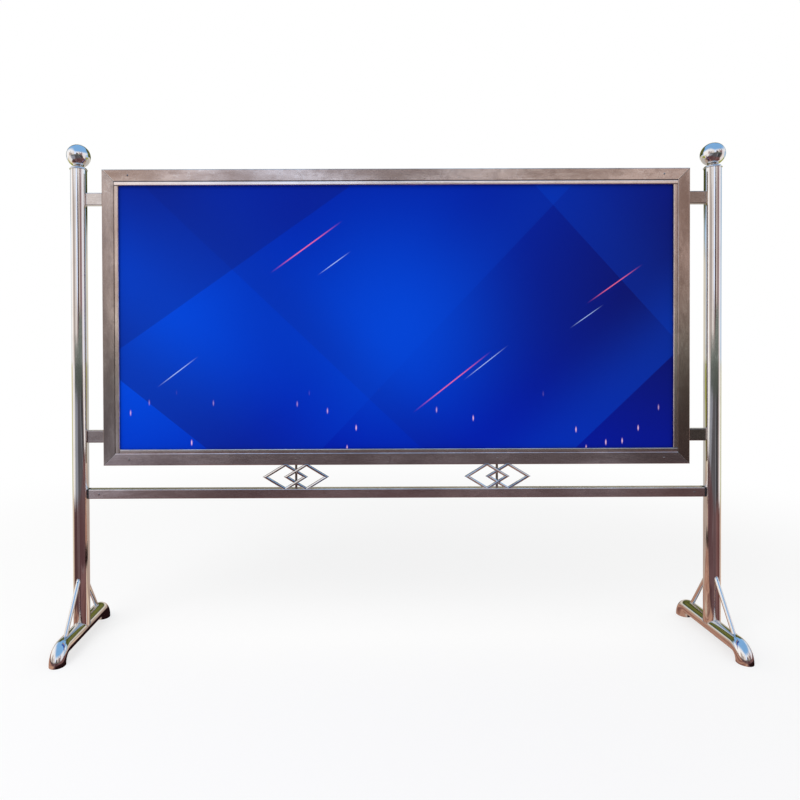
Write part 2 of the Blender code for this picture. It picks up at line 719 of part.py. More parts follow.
def rhombus_mesh(name, half_width, half_height, offset_x, plane):
    """A ring of round bar, mitred at the rhombus's four corners."""
    work = bmesh.new()
    radius = RHOMBUS_BAR / 2
    loops = []
    for step in range(RHOMBUS_SIDES):
        angle = 2 * math.pi * step / RHOMBUS_SIDES
        loops.append(ring_verts(work, rhombus_points(
            half_width, half_height, offset_x, plane + radius * math.sin(angle),
            radius * math.cos(angle) - radius)))
    for loop, following in zip(loops, loops[1:] + loops[:1]):
        for i in range(len(loop)):
            work.faces.new((loop[i - 1], loop[i], following[i], following[i - 1]))
    return to_mesh(name, work)


def lap_cutter(name, parent, half_width, half_height, offset_x, tip, y_start, y_end):
    """The half of a rhombus ring with that tip, a gap larger than its bars, as a chevron."""
    outer = rhombus_points(half_width, half_height, offset_x, y_start, GAP)
    inner = rhombus_points(half_width, half_height, offset_x, y_start, -RHOMBUS_BAR - GAP)
    outline = [outer[0], outer[tip], outer[2], inner[2], inner[tip], inner[0]]
    return add_cutter(name, prism(name, outline, Vector((0, y_end - y_start, 0))), parent)


def trim_cutter(name, parent, half_width, level, depth, plane):
    """A block over one tip of both rhombi, from the level where the tip is cut flat."""
    reach = half_width + RHOMBUS_STAGGER
    start = plane - RHOMBUS_BAR
    outline = [Vector((-reach, start, level)), Vector((reach, start, level)),
               Vector((reach, start, level + depth)), Vector((-reach, start, level + depth))]
    return add_cutter(name, prism(name, outline, Vector((0, 2 * RHOMBUS_BAR, 0))), parent)


def build_ornament(name, board, x, in_front):
    """Two rhombi of round bar between the crossbar and the frame, half-lapped where they cross.

    Their upper and lower tips are cut flat for the welds. For the upper and the lower crossing,
    in_front names the rhombus that passes in front.
    """
    space = ORNAMENT_SPACE / 2 - GAP
    half_height = space + RHOMBUS_TIP_TRIM
    half_width = RHOMBUS_WIDTH / 2
    plane = -(ROD_DIAMETER / 2 + GAP + RHOMBUS_BAR / 2)
    group = empty(name + "_ornament", (x, 0, CROSSBAR_TOP + ORNAMENT_SPACE / 2))
    group.parent = board
    front_half = (plane - RHOMBUS_BAR, plane + GAP / 2)
    back_half = (plane - GAP / 2, plane + RHOMBUS_BAR)
    trims = [trim_cutter(f"{name}_ornament_{end}_trim", group, half_width, sign * space,
                         sign * 2 * RHOMBUS_TIP_TRIM, plane)
             for end, sign in (("upper", 1), ("lower", -1))]
    offsets = {"left": -RHOMBUS_STAGGER / 2, "right": RHOMBUS_STAGGER / 2}
    for side, other in (("left", "right"), ("right", "left")):
        piece_name = f"{name}_ornament_{side}_rhombus"
        rhombus = add_piece(piece_name, rhombus_mesh(piece_name, half_width, half_height,
                                                     offsets[side], plane), SATIN_STEEL, group)
        for crossing, tip in (("upper", 1), ("lower", 3)):
            y_start, y_end = back_half if in_front[crossing] == side else front_half
            cut(rhombus, lap_cutter(f"{piece_name}_{crossing}_lap", group, half_width, half_height,
                                    offsets[other], tip, y_start, y_end))
        for trim in trims:
            cut(rhombus, trim)


def build_rods(board, screw_drill):
    """A round rod behind each ornament, from the crossbar's floor to the rail screw above it."""
    bottom = CROSSBAR_HEIGHT - CROSSBAR_SIZE / 2 + CROSSBAR_WALL + GAP
    top = RAIL_SCREW_HEIGHT + ROD_ABOVE_SCREW
    drill = bmesh.new()
    for name, sign in (("left", -1), ("right", 1)):
        x = sign * ORNAMENT_OFFSET
        rod_name = name + "_ornament_rod"
        rod = add_piece(rod_name, cylinder(rod_name, ROD_DIAMETER / 2, (x, 0, bottom), (x, 0, top),
                                           ROD_SIDES), SATIN_STEEL, board)
        cut(rod, screw_drill)
        add_cylinder(drill, ROD_DIAMETER / 2 + DRILL_CLEARANCE, (x, 0, CROSSBAR_HEIGHT),
                     (x, 0, FRAME_BOTTOM + RAIL_WALL + CUTTER_OVERSHOOT), ROD_SIDES)
    return add_cutter("rod_drill", to_mesh("rod_drill", drill), board)


def build():
    clear_scene()
    post_cutters = {"left": build_support("left", -POST_AXIS),
                    "right": build_support("right", POST_AXIS)}
    board = empty("board", (0, BOARD_SET_BACK, 0))
    screw_drill = build_screws("rail_drill", board, rail_screw_places(), FRONT_FACE,
                               RAIL_SCREW_LENGTH)
    rod_drill = build_rods(board, screw_drill)
    rails = build_frame(board)
    cut(rails["top"], screw_drill)
    cut(rails["bottom"], screw_drill)
    cut(rails["bottom"], rod_drill)
    build_corner_keys(board, screw_drill)
    build_beads(board, "front", FRONT_FACE, Vector((0, 1, 0)))
    build_beads(board, "rear", RAIL_DEPTH / 2, Vector((0, -1, 0)))
    build_panel(board)
    build_connectors(board, post_cutters)
    build_crossbar(board, post_cutters, rod_drill)
    build_ornament("left", board, -ORNAMENT_OFFSET, {"upper": "right", "lower": "left"})
    build_ornament("right", board, ORNAMENT_OFFSET, {"upper": "left", "lower": "left"})


build()
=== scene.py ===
import math

import bmesh
import bpy
import numpy as np
from mathutils import Matrix, Vector


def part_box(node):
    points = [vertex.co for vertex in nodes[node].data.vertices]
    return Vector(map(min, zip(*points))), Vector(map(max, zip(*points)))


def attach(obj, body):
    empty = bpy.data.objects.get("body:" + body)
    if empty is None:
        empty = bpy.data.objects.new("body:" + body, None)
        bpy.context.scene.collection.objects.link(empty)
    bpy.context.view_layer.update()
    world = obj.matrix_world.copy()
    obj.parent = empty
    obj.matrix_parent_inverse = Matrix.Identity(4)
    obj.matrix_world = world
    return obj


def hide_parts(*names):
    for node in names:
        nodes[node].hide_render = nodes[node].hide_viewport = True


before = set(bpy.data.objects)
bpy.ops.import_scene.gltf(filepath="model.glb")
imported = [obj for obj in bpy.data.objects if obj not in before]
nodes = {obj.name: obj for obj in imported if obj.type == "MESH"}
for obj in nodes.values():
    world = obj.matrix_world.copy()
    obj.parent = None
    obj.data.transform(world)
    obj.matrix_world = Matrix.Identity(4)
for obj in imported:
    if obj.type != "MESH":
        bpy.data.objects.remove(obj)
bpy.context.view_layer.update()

# Feet
# Each foot is a straight run of mirror-polished stainless tube from front to back, between two
# elbows that turn down to the ground. The elbows are butt-welded on and closed by a disc.
SIDES = ("left", "right")
ENDS = (("front", -1), ("rear", 1))
FOOT_WALL = 0.002
FOOT_FACETS = 96
TOE_COLLAR = 0.004
TOE_DISC = 0.003
TOE_STEPS = 32
MIRROR_TONE = (0.80, 0.775, 0.755)
MIRROR_SHADE = (0.69, 0.65, 0.62)
MIRROR_ROUGHNESS = 0.055
MIRROR_DEPTH = 0.00022
WAVE_SCALE, WAVE_STRETCH = 38.0, 14.0
BELT_SCALE, BELT_STRETCH = 30.0, 0.02
DUST_SCALE = 9.0
DUST_EDGES = (0.42, 0.68)
SMOOTH_ANGLE = math.radians(32)
MERGE_DISTANCE = 1e-6
X = np.array((1.0, 0.0, 0.0))
Y = np.array((0.0, 1.0, 0.0))
Z = np.array((0.0, 0.0, 1.0))


def put_in_scene(name, data):
    piece = bpy.data.objects.new(name, data)
    bpy.context.scene.collection.objects.link(piece)
    return piece


def skin(name, rings, loop=False):
    """A closed surface through a grid of points, given as rings x points x 3.

    Face (i, j) joins points j and j + 1 of rings i and i + 1, and each ring closes on itself. With
    loop the last ring also joins the first, as in a tube with a wall. Without it the first and the
    last ring are filled.
    """
    count, around = rings.shape[:2]
    index = np.arange(count * around).reshape(count, around)
    index = np.vstack((index, index[:1])) if loop else index
    beside = np.roll(index, -1, axis=1)
    faces = np.stack((index[:-1], beside[:-1], beside[1:], index[1:]), axis=-1)
    faces = faces.reshape(-1, 4).tolist()
    if not loop:
        faces += [index[0].tolist(), index[-1].tolist()]
    mesh = bpy.data.meshes.new(name)
    mesh.from_pydata(rings.reshape(-1, 3).tolist(), [], faces)
    work = bmesh.new()
    work.from_mesh(mesh)
    bmesh.ops.remove_doubles(work, verts=work.verts, dist=MERGE_DISTANCE)
    bmesh.ops.recalc_face_normals(work, faces=work.faces)
    work.to_mesh(mesh)
    work.free()
    mesh.shade_smooth()
    mesh.set_sharp_from_angle(angle=SMOOTH_ANGLE)
    return put_in_scene(name, mesh)


def place_on_board(piece, finish, slot, *replaced):
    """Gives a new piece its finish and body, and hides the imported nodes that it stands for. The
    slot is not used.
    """
    piece.data.materials.clear()
    piece.data.materials.append(finish)
    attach(piece, "root")
    if replaced:
        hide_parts(*replaced)


def full_turn(count):
    """Angles of a count of points spread evenly round a circle."""
    return np.linspace(0, 2 * math.pi, count, endpoint=False)


def quarter_turn(steps):
    """Angles from 0 to a right angle, both included."""
    return np.linspace(0, math.pi / 2, steps + 1)


def circle(centre, side, up, radius, facets):
    """Points centre + radius * (side * cos a + up * sin a), for a round the circle."""
    angle = full_turn(facets)[:, None]
    return centre + radius * (side * np.cos(angle) + up * np.sin(angle))


def tube(name, origin, direction, side, radius, wall, start, end, facets):
    """A tube with a wall: an outer ring at each end and the inner rings back.

    A ring's point is p + direction * t, where p lies on the circle round the origin. At the ends t
    is start(p) and end(p), which follow whatever the end is coped to.
    """
    up = np.cross(direction, side)
    outer = circle(origin, side, up, radius, facets)
    inner = circle(origin, side, up, radius - wall, facets)
    rings = [p + direction * reach(p)[:, None]
             for p, reach in ((outer, start), (outer, end), (inner, end), (inner, start))]
    return skin(name, np.array(rings), loop=True)


def level_with(direction, distance):
    """An end cut square at a distance from the world's origin along the direction."""
    return lambda points: distance - points @ direction


class Wire:
    """An output socket of a material's node. Sums with wires or numbers add the nodes that do them.

    A sum on a vector adds a Vector Math node, and a sum on a number a Math node.
    """

    def __init__(self, finish, socket):
        self.finish = finish
        self.socket = socket

    def sum(self, operation, first, second):
        kind = 'ShaderNodeVectorMath' if self.socket.type == 'VECTOR' else 'ShaderNodeMath'
        return self.finish.node(kind, {"operation": operation}, {0: first, 1: second})

    def __add__(self, other):
        return self.sum('ADD', self, other)

    def __radd__(self, other):
        return self.sum('ADD', other, self)

    def __sub__(self, other):
        return self.sum('SUBTRACT', self, other)

    def __rsub__(self, other):
        return self.sum('SUBTRACT', other, self)

    def __mul__(self, other):
        return self.sum('MULTIPLY', self, other)

    def __rmul__(self, other):
        return self.sum('MULTIPLY', other, self)

    def __truediv__(self, other):
        return self.sum('DIVIDE', self, other)

    def __pow__(self, other):
        return self.sum('POWER', self, other)

    def __abs__(self):
        return self.sum('ABSOLUTE', self, 0.0)


class Finish:
    """A material, or the world, in the making: its nodes and the shader that they feed."""

    def __init__(self, owner):
        owner.use_nodes = True
        self.owner = owner
        self.tree = owner.node_tree

    def node(self, kind, settings=None, sockets=None, output=0):
        """Adds a node, with its settings set first and then its sockets' values or links."""
        made = self.tree.nodes.new(kind)
        for name, value in (settings or {}).items():
            if name == "stops":
                ramp = made.color_ramp.elements
                while len(ramp) < len(value):
                    ramp.new(1.0)
                for stop, (position, colour) in zip(ramp, value):
                    stop.position = position
                    stop.color = (*colour, 1.0)
            else:
                setattr(made, name, value)
        for name, value in (sockets or {}).items():
            self.feed(made.inputs[name], value)
        return Wire(self, made.outputs[output])

    def feed(self, socket, value):
        """Links a wire to a socket, or sets its value, with a number spread over a vector."""
        if isinstance(value, Wire):
            self.tree.links.new(value.socket, socket)
        elif socket.type == 'RGBA':
            socket.default_value = (*value, 1.0)
        elif socket.type == 'VECTOR' and not hasattr(value, "__len__"):
            socket.default_value = (value,) * 3
        else:
            socket.default_value = value

    def mix(self, mask, first, second):
        """Colour from first to second as the mask goes from 0 to 1."""
        return self.node('ShaderNodeMix', {"data_type": 'RGBA'}, {0: mask, 6: first, 7: second}, 2)

    def place(self):
        """Object coordinates: the point's own place on the board, in metres."""
        return self.node('ShaderNodeTexCoord', output=3)

    def parts(self, vector):
        return [self.node('ShaderNodeSeparateXYZ', sockets={0: vector}, output=i) for i in range(3)]

    def join(self, x, y, z):
        return self.node('ShaderNodeCombineXYZ', sockets={0: x, 1: y, 2: z})

    def noise(self, place, scale, detail=2.0, roughness=0.5):
        """A soft random pattern from 0 to 1, with its scale in waves to the metre."""
        return self.node('ShaderNodeTexNoise', sockets={"Vector": place, "Scale": scale,
                                                        "Detail": detail, "Roughness": roughness})

    def between(self, value, low, high):
        """0 below low, 1 above high and smooth between them."""
        return self.node('ShaderNodeMapRange', {"interpolation_type": 'SMOOTHSTEP'},
                         {0: value, 1: low, 2: high, 3: 0.0, 4: 1.0})

    def band(self, value, start, full, fall, end):
        """0 below start and above end, 1 from full to fall and smooth between them."""
        return self.between(value, start, full) * (1 - self.between(value, fall, end))

    def drawn_out(self, place, along, stretch):
        """Coordinates squeezed along a direction, to draw a pattern on them out along it."""
        part = self.node('ShaderNodeVectorMath', {"operation": 'DOT_PRODUCT'},
                         {0: place, 1: tuple(along)}, 1)
        spread = self.node('ShaderNodeVectorMath', {"operation": 'SCALE'},
                           {0: tuple(along), "Scale": part * (1 - 1 / stretch)})
        return place - spread

    def bump(self, height, depth):
        """A normal for a surface that rises by its height times the depth, in metres."""
        return self.node('ShaderNodeBump', sockets={"Strength": 1.0, "Distance": depth,
                                                    "Height": height})

    def surface(self, colour, roughness, metallic, normal, **fixed):
        """Feeds the Principled shader. Fixed values are set on their own sockets."""
        shader = self.tree.nodes["Principled BSDF"]
        self.feed(shader.inputs["Base Color"], colour)
        self.feed(shader.inputs["Roughness"], roughness)
        self.feed(shader.inputs["Metallic"], metallic)
        self.feed(shader.inputs["Normal"], normal)
        for name, value in fixed.items():
            shader.inputs[name.replace("_", " ")].default_value = value
        return self.owner


def new_finish(name):
    return Finish(bpy.data.materials.new(name))


def mirror_steel(name, along):
    """Polished stainless tube: faint waves along it, fine belt lines round it and thin dust."""
    made = new_finish(name)
    place = made.place()
    waves = made.noise(made.drawn_out(place, along, WAVE_STRETCH), WAVE_SCALE)
    belt = made.noise(made.drawn_out(place, along, BELT_STRETCH), BELT_SCALE, 3.0)
    dust = made.between(made.noise(place, DUST_SCALE, 4.0, 0.6), *DUST_EDGES)
    colour = made.mix(dust * 0.45 + waves * 0.3, MIRROR_TONE, MIRROR_SHADE)
    roughness = MIRROR_ROUGHNESS + dust * 0.05 + belt * 0.03
    normal = made.bump(waves + belt * 0.04, MIRROR_DEPTH)
    return made.surface(colour, roughness, 1.0, normal)


foot_steel = mirror_steel("foot_tube_polished_steel", Y)
for side in SIDES:
    low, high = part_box(side + "_foot_tube")
    foot_x = (low.x + high.x) / 2
    foot_radius = (high.x - low.x) / 2
    foot_axis = (low.z + high.z) / 2
    foot_end = high.y
    foot = tube(side + "_foot", np.array((foot_x, 0.0, foot_axis)), Y, X, foot_radius, FOOT_WALL,
                level_with(Y, -foot_end), level_with(Y, foot_end), FOOT_FACETS)
    place_on_board(foot, foot_steel, "polished_steel", side + "_foot_tube")


def toe_rings(centre, sign, bend, radius, floor):
    """Rings round a quarter bend, then straight down to the floor.

    At angle a the ring's centre is the bend's centre + bend * (sin a out, cos a up), and its plane
    holds X and that radius.
    """
    angle = quarter_turn(TOE_STEPS)[:, None]
    spoke = sign * np.sin(angle) * Y + np.cos(angle) * Z
    rings = np.array([circle(centre + bend * out, X, out, radius, FOOT_FACETS) for out in spoke])
    last = rings[-1:].copy()
    last[..., 2] = floor
    return np.concatenate((rings, last))


bend = foot_axis - TOE_COLLAR
for side in SIDES:
    for end, sign in ENDS:
        low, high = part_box(f"{side}_{end}_toe")
        start = low.y if sign > 0 else high.y
        centre = np.array((foot_x if side == "right" else -foot_x, start, TOE_COLLAR))
        outside = toe_rings(centre, sign, bend, foot_radius, 0.0)
        inside = toe_rings(centre, sign, bend, foot_radius - FOOT_WALL, TOE_DISC)
        toe = skin(f"{side}_{end}_elbow", np.concatenate((outside[::-1], inside)))
        place_on_board(toe, foot_steel, "polished_steel", f"{side}_{end}_toe")

# Posts
# Each post is a polished stainless tube. Its lower end is coped to sit astride the foot tube, and
# a rippled bead of weld metal runs round it there.
POST_WALL = 0.002
POST_FACETS = 128
WELD_GAP = 0.0003
WELD_RADIUS = 0.0013
WELD_RIPPLE = 0.14
WELD_FACETS = 12
WELD_STEPS = 240
POST_RIPPLES = 60
WELD_TINT = (0.52, 0.39, 0.28)
WELD_ROUGHNESS = 0.22
WELD_DEPTH = 0.00006
HEAT_SCALE = 90.0
HEAT_EDGES = (0.42, 0.66)
BRUSHING_SCALE = 700.0


def meet_cylinder(points, direction, centre, axis, radius, far):
    """How far each point goes along the direction to a cylinder's skin.

    It is the root t of |q + t w| = radius, where q and w are the point's place from the centre and
    the direction, less their parts along the axis. Where a line passes beside the cylinder, t is
    its nearest point. Far takes the second root.
    """
    q = points - centre
    q = q - (q @ axis)[:, None] * axis
    w = direction - (direction @ axis) * axis
    reach = q @ w
    spare = reach ** 2 - (w @ w) * ((q * q).sum(axis=1) - radius ** 2)
    root = np.sqrt(np.maximum(spare, 0))
    return (-reach + (root if far else -root)) / (w @ w)


def weld_bead(name, path, ripples):
    """A closed bead of weld metal along a closed path of points.

    Round each point lies a ring in the plane of the path's outward line and its normal, so that the
    ring's place is p + r (o cos b + n sin b), where r = WELD_RADIUS (1 + WELD_RIPPLE sin k a), a
    goes once round the path and k is the number of ripples.
    """
    along = np.roll(path, -1, axis=0) - np.roll(path, 1, axis=0)
    along = along / np.linalg.norm(along, axis=1)[:, None]
    outward = path - path.mean(axis=0)
    outward = outward - (outward * along).sum(axis=1)[:, None] * along
    outward = outward / np.linalg.norm(outward, axis=1)[:, None]
    normal = np.cross(along, outward)
    turn = full_turn(len(path))[:, None, None]
    round_bead = full_turn(WELD_FACETS)[:, None]
    radius = WELD_RADIUS * (1 + WELD_RIPPLE * np.sin(ripples * turn))
    rings = path[:, None] + radius * (outward[:, None] * np.cos(round_bead)
                                      + normal[:, None] * np.sin(round_bead))
    return skin(name, rings, loop=True)


def weld_metal():
    """Bright weld metal, brushed over, with a brown tint where it was hottest."""
    made = new_finish("weld_metal")
    place = made.place()
    heat = made.between(made.noise(place, HEAT_SCALE, 3.0), *HEAT_EDGES)
    fine = made.noise(place, BRUSHING_SCALE)
    colour = made.mix(heat * 0.7, MIRROR_TONE, WELD_TINT)
    roughness = WELD_ROUGHNESS + fine * 0.14
    return made.surface(colour, roughness, 1.0, made.bump(fine, WELD_DEPTH))


weld_steel = weld_metal()
post_steel = mirror_steel("post_polished_steel", Z)
for side in SIDES:
    low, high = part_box(side + "_post")
    post_x = (low.x + high.x) / 2
    post_radius = (high.x - low.x) / 2
    foot_centre = np.array((post_x, 0.0, foot_axis))
    skirt = low.z

    def coped_foot(points):
        top = meet_cylinder(points, Z, foot_centre, Y, foot_radius + WELD_GAP, True)
        return np.maximum(top, skirt)

    post = tube(side + "_upright", np.array((post_x, 0.0, 0.0)), Z, X, post_radius, POST_WALL,
                coped_foot, level_with(Z, high.z), POST_FACETS)
    place_on_board(post, post_steel, "polished_steel", side + "_post")
    around = circle(np.array((post_x, 0.0, 0.0)), X, Y, post_radius, WELD_STEPS)
    path = around + Z * coped_foot(around)[:, None]
    weld = weld_bead(side + "_post_weld", path, POST_RIPPLES)
    place_on_board(weld, weld_steel, "polished_steel")

# Braces
# Thin polished tubes run from the post's front and back down to the foot. Both ends are coped and
# welded round with a bead, and a small vent is drilled beside the upper one.
BRACE_RADIUS = 0.008
BRACE_WALL = 0.0015
BRACE_TOP = 0.244
BRACE_REACH = 0.134
BRACE_FACETS = 48
BRACE_RIPPLES = 22
VENT_RADIUS = 0.00175
VENT_DEPTH = 2 * BRACE_WALL + 0.002
VENT_FACETS = 24


def pierce(piece, point, direction, radius, depth):
    """Drills a round hole into a piece and keeps the result as its mesh."""
    turn = Vector(direction).to_track_quat('Z', 'Y').to_matrix().to_4x4()
    work = bmesh.new()
    bmesh.ops.create_cone(work, cap_ends=True, segments=VENT_FACETS, radius1=radius, radius2=radius,
                          depth=depth, matrix=Matrix.Translation(Vector(point)) @ turn)
    mesh = bpy.data.meshes.new("drill")
    work.to_mesh(mesh)
    work.free()
    drill = put_in_scene("drill", mesh)
    step = piece.modifiers.new("drill", 'BOOLEAN')
    step.solver = 'EXACT'
    step.object = drill
    bpy.context.view_layer.update()
    drilled = piece.evaluated_get(bpy.context.evaluated_depsgraph_get())
    mesh = bpy.data.meshes.new_from_object(drilled)
    piece.modifiers.clear()
    piece.data = mesh
    mesh.shade_smooth()
    mesh.set_sharp_from_angle(angle=SMOOTH_ANGLE)
    bpy.data.objects.remove(drill, do_unlink=True)


for side, sign_x in zip(SIDES, (-1, 1)):
    for end, sign in ENDS:
        post_centre = np.array((sign_x * post_x, 0.0, 0.0))
        foot_centre = np.array((sign_x * post_x, 0.0, foot_axis))
        upper = post_centre + np.array((0.0, sign * post_radius, BRACE_TOP))
        lower = post_centre + np.array((0.0, sign * BRACE_REACH, foot_axis + foot_radius))
        down = (lower - upper) / np.linalg.norm(lower - upper)

        def at_post(points):
            return meet_cylinder(points, down, post_centre, Z, post_radius + WELD_GAP, True)

        def at_foot(points):
            return meet_cylinder(points, down, foot_centre, Y, foot_radius + WELD_GAP, False)

        brace = tube(f"{side}_{end}_strut", upper, down, X, BRACE_RADIUS, BRACE_WALL,
                     at_post, at_foot, BRACE_FACETS)
        around = circle(upper, X, np.cross(down, X), BRACE_RADIUS, WELD_STEPS // 2)
        for where, reach in (("upper", at_post), ("lower", at_foot)):
            path = around + down * reach(around)[:, None]
            weld = weld_bead(f"{side}_{end}_strut_{where}_weld", path, BRACE_RIPPLES)
            place_on_board(weld, weld_steel, "polished_steel")
        outward = np.array((0.0, -sign * down[2], sign * down[1]))
        pierce(brace, upper + outward * BRACE_RADIUS, outward, VENT_RADIUS, VENT_DEPTH)
        place_on_board(brace, mirror_steel(f"{side}_{end}_strut_polished_steel", down),
                       "polished_steel", f"{side}_{end}_brace")

# Finials
# A turned stainless cap stands in each post. It has a rim, a low dome and a neck, and a hollow
# polished ball is welded on the neck.
CAP_SPIGOT_LENGTH = 0.030
CAP_RIM_RADIUS = 0.0345
CAP_RIM_THICKNESS = 0.0035
CAP_RIM_ROUNDING = 0.0010
CAP_WALL = 0.002
CAP_HOLE_RADIUS = 0.009
NECK_RADIUS = 0.017
NECK_HEIGHT = 0.0025
BALL_WALL = 0.0015
BALL_MOUTH_RADIUS = 0.012
TURNED_FACETS = 128
DOME_STEPS = 20
BALL_STEPS = 64


def turned(name, x, profile):
    """A closed outline of (radius, height) points carried round the vertical line at x."""
    angle = full_turn(TURNED_FACETS)
    radius, height = profile[:, 0, None], profile[:, 1, None]
    rings = np.stack((x + radius * np.cos(angle), radius * np.sin(angle),
                      height + 0 * angle), axis=-1)
    return skin(name, rings, loop=True)


def quarter(start, end, steps):
    """Points a quarter way round an ellipse, which leaves start upright and reaches end level.

    They are (end + (start - end) cos a) across and (start + (end - start) sin a) up.
    """
    angle = quarter_turn(steps)
    return np.stack((end[0] + (start[0] - end[0]) * np.cos(angle),
                     start[1] + (end[1] - start[1]) * np.sin(angle)), axis=-1)


ball_steel = mirror_steel("ball_polished_steel", Z)
for side in SIDES:
    low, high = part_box(side + "_finial_ball")
    finial_x = (low.x + high.x) / 2
    ball_radius = (high.x - low.x) / 2
    ball_height = high.z - ball_radius
    post_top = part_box(side + "_post")[1].z
    arcs = []
    for radius in (ball_radius, ball_radius - BALL_WALL):
        angle = np.linspace(math.asin(BALL_MOUTH_RADIUS / radius), math.pi, BALL_STEPS + 1)
        arc = (radius * np.sin(angle), ball_height - radius * np.cos(angle))
        arcs.append(np.stack(arc, axis=-1))
    ball = turned(side + "_ball", finial_x, np.concatenate((arcs[0], arcs[1][::-1])))
    place_on_board(ball, ball_steel, "polished_steel", side + "_finial_ball")
    spigot = post_radius - POST_WALL - WELD_GAP
    rim_low = post_top + WELD_GAP
    rim_top = rim_low + CAP_RIM_THICKNESS
    seat = ball_radius + WELD_GAP
    dish_edge = ball_height - math.sqrt(seat ** 2 - NECK_RADIUS ** 2)
    dish_low = ball_height - math.sqrt(seat ** 2 - CAP_HOLE_RADIUS ** 2)
    outline = np.concatenate((
        [(spigot, post_top - CAP_SPIGOT_LENGTH), (spigot, rim_low)],
        [(CAP_RIM_RADIUS - CAP_RIM_ROUNDING, rim_low)],
        quarter((CAP_RIM_RADIUS, rim_low + CAP_RIM_ROUNDING),
                (CAP_RIM_RADIUS - CAP_RIM_ROUNDING, rim_top), DOME_STEPS),
        quarter((CAP_RIM_RADIUS - 2 * CAP_RIM_ROUNDING, rim_top),
                (NECK_RADIUS, dish_edge - NECK_HEIGHT), DOME_STEPS),
        [(NECK_RADIUS, dish_edge), (CAP_HOLE_RADIUS, dish_low), (CAP_HOLE_RADIUS, post_top),
         (spigot - CAP_WALL, post_top), (spigot - CAP_WALL, post_top - CAP_SPIGOT_LENGTH)]))
    cap = turned(side + "_cap", finial_x, outline)
    place_on_board(cap, ball_steel, "polished_steel", side + "_finial_cap")

# Frame rails
# Four rectangular stainless tubes with a drawn satin face are mitred, welded and ground flush at
# the corners. Dust darkens each mitre's seam, and dried drips and specks mark the faces.
RAIL_FACE = 0.050
# Each rail has the tone of its steel and that of the cloudy patches on it. Both are partly the
# steel's own and partly painted reflection, so that each rail is painted lighter or darker by
# what it mirrors.
RAIL_PAINTED_REFLECTION_TONES = {"top": ((0.74, 0.605, 0.54), (0.37, 0.265, 0.22)),
              "bottom": ((0.95, 0.81, 0.80), (0.52, 0.41, 0.40)),
              "left": ((0.61, 0.51, 0.465), (0.31, 0.245, 0.225)),
              "right": ((0.74, 0.605, 0.54), (0.37, 0.265, 0.22))}
STAIN_TONE = (0.90, 0.85, 0.81)
SEAM_TONE = (0.05, 0.04, 0.035)
SEAM_WIDTH = (0.0004, 0.0013)
GRINDING_BAND = (0.0005, 0.0012, 0.0030, 0.0046)
SATIN_ROUGHNESS = 0.10
SATIN_DEPTH = 0.00003
GRAIN_SCALE, GRAIN_STRETCH, GRAIN_HEIGHT = 900.0, 60.0, 4.0
CLOUD_SCALE, CLOUD_STRETCH, CLOUD_HEIGHT = 7.0, 3.5, 3.0
CLOUD_EDGES = (0.36, 0.64)
PATCH_SCALE, PATCH_STRETCH, PATCH_HEIGHT = 38.0, 1.8, 0.5
PATCH_EDGES = (0.44, 0.70)
DRIP_SCALE = 21.0
DRIP_RIM = (0.545, 0.560, 0.562, 0.590)
DRIP_EDGES = (0.42, 0.60)
SPECK_SCALE = 520.0
SPECK_EDGES = (0.66, 0.74)
ALONG = {"top": X, "bottom": X, "left": Z, "right": Z}
frame_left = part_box("left_rail")[0].x
frame_low, frame_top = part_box("bottom_rail")[0].z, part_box("top_rail")[1].z
frame_centre_z = (frame_low + frame_top) / 2
frame_half_height = (frame_top - frame_low) / 2


def satin_steel(name, along, tones, seamed=False):
    """Drawn satin stainless: fine lines along the bar over cloudy patches, with dried drip marks.
    The cloudy patches are partly a random tone of the steel and partly painted reflection.

    A seamed rail has the mitre's dark line where its distance from the frame's side equals that
    from its top or bottom, and beside it the bright band that is left where the weld was ground.
    """
    made = new_finish(name)
    place = made.place()
    tone, shade = tones
    grain = made.noise(made.drawn_out(place, along, GRAIN_STRETCH), GRAIN_SCALE)
    clouds = made.noise(made.drawn_out(place, along, CLOUD_STRETCH), CLOUD_SCALE, 5.0, 0.60)
    patches = made.noise(made.drawn_out(place, along, PATCH_STRETCH), PATCH_SCALE, 5.0, 0.68)
    rim = made.band(made.noise(place, DRIP_SCALE, 3.0, 0.55), *DRIP_RIM)
    specks = made.between(made.noise(place, SPECK_SCALE, 1.0), *SPECK_EDGES)
    # The cloudy patches and their darker tone are partly random tone and partly painted reflection.
    colour = made.mix(made.between(clouds, *CLOUD_EDGES), tone, shade)
    colour = made.mix(made.between(patches, *PATCH_EDGES) * 0.55, colour, shade)
    colour = made.mix(grain * 0.30, colour, shade)
    colour = made.mix(rim * (1 - made.between(clouds, *DRIP_EDGES)) * 0.22, colour, STAIN_TONE)
    colour = made.mix(specks * 0.30, colour, STAIN_TONE)
    roughness = SATIN_ROUGHNESS + clouds * 0.12 + patches * 0.08 + grain * 0.05
    if seamed:
        x, _, z = made.parts(place)
        from_side = -frame_left - abs(x)
        from_end = frame_half_height - abs(z - frame_centre_z)
        gap = from_side - from_end
        corner = 1 - made.between(from_side, RAIL_FACE, RAIL_FACE + 0.001)
        ground = made.band(gap, *GRINDING_BAND)
        colour = made.mix(ground * corner * 0.55, colour, STAIN_TONE)
        seam = corner * (1 - made.between(abs(gap), *SEAM_WIDTH))
        colour = made.mix(seam * 0.85, colour, SEAM_TONE)
        roughness = roughness + seam * 0.3
    height = grain * GRAIN_HEIGHT + clouds * CLOUD_HEIGHT + patches * PATCH_HEIGHT
    return made.surface(colour, roughness, 1.0, made.bump(height, SATIN_DEPTH))


def refinish(finish, *names):
    """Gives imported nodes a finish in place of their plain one."""
    for name in names:
        nodes[name].data.materials.clear()
        nodes[name].data.materials.append(finish)


for which, along in ALONG.items():
    refinish(satin_steel(which + "_rail_satin_steel", along, RAIL_PAINTED_REFLECTION_TONES[which], True),
             which + "_rail")

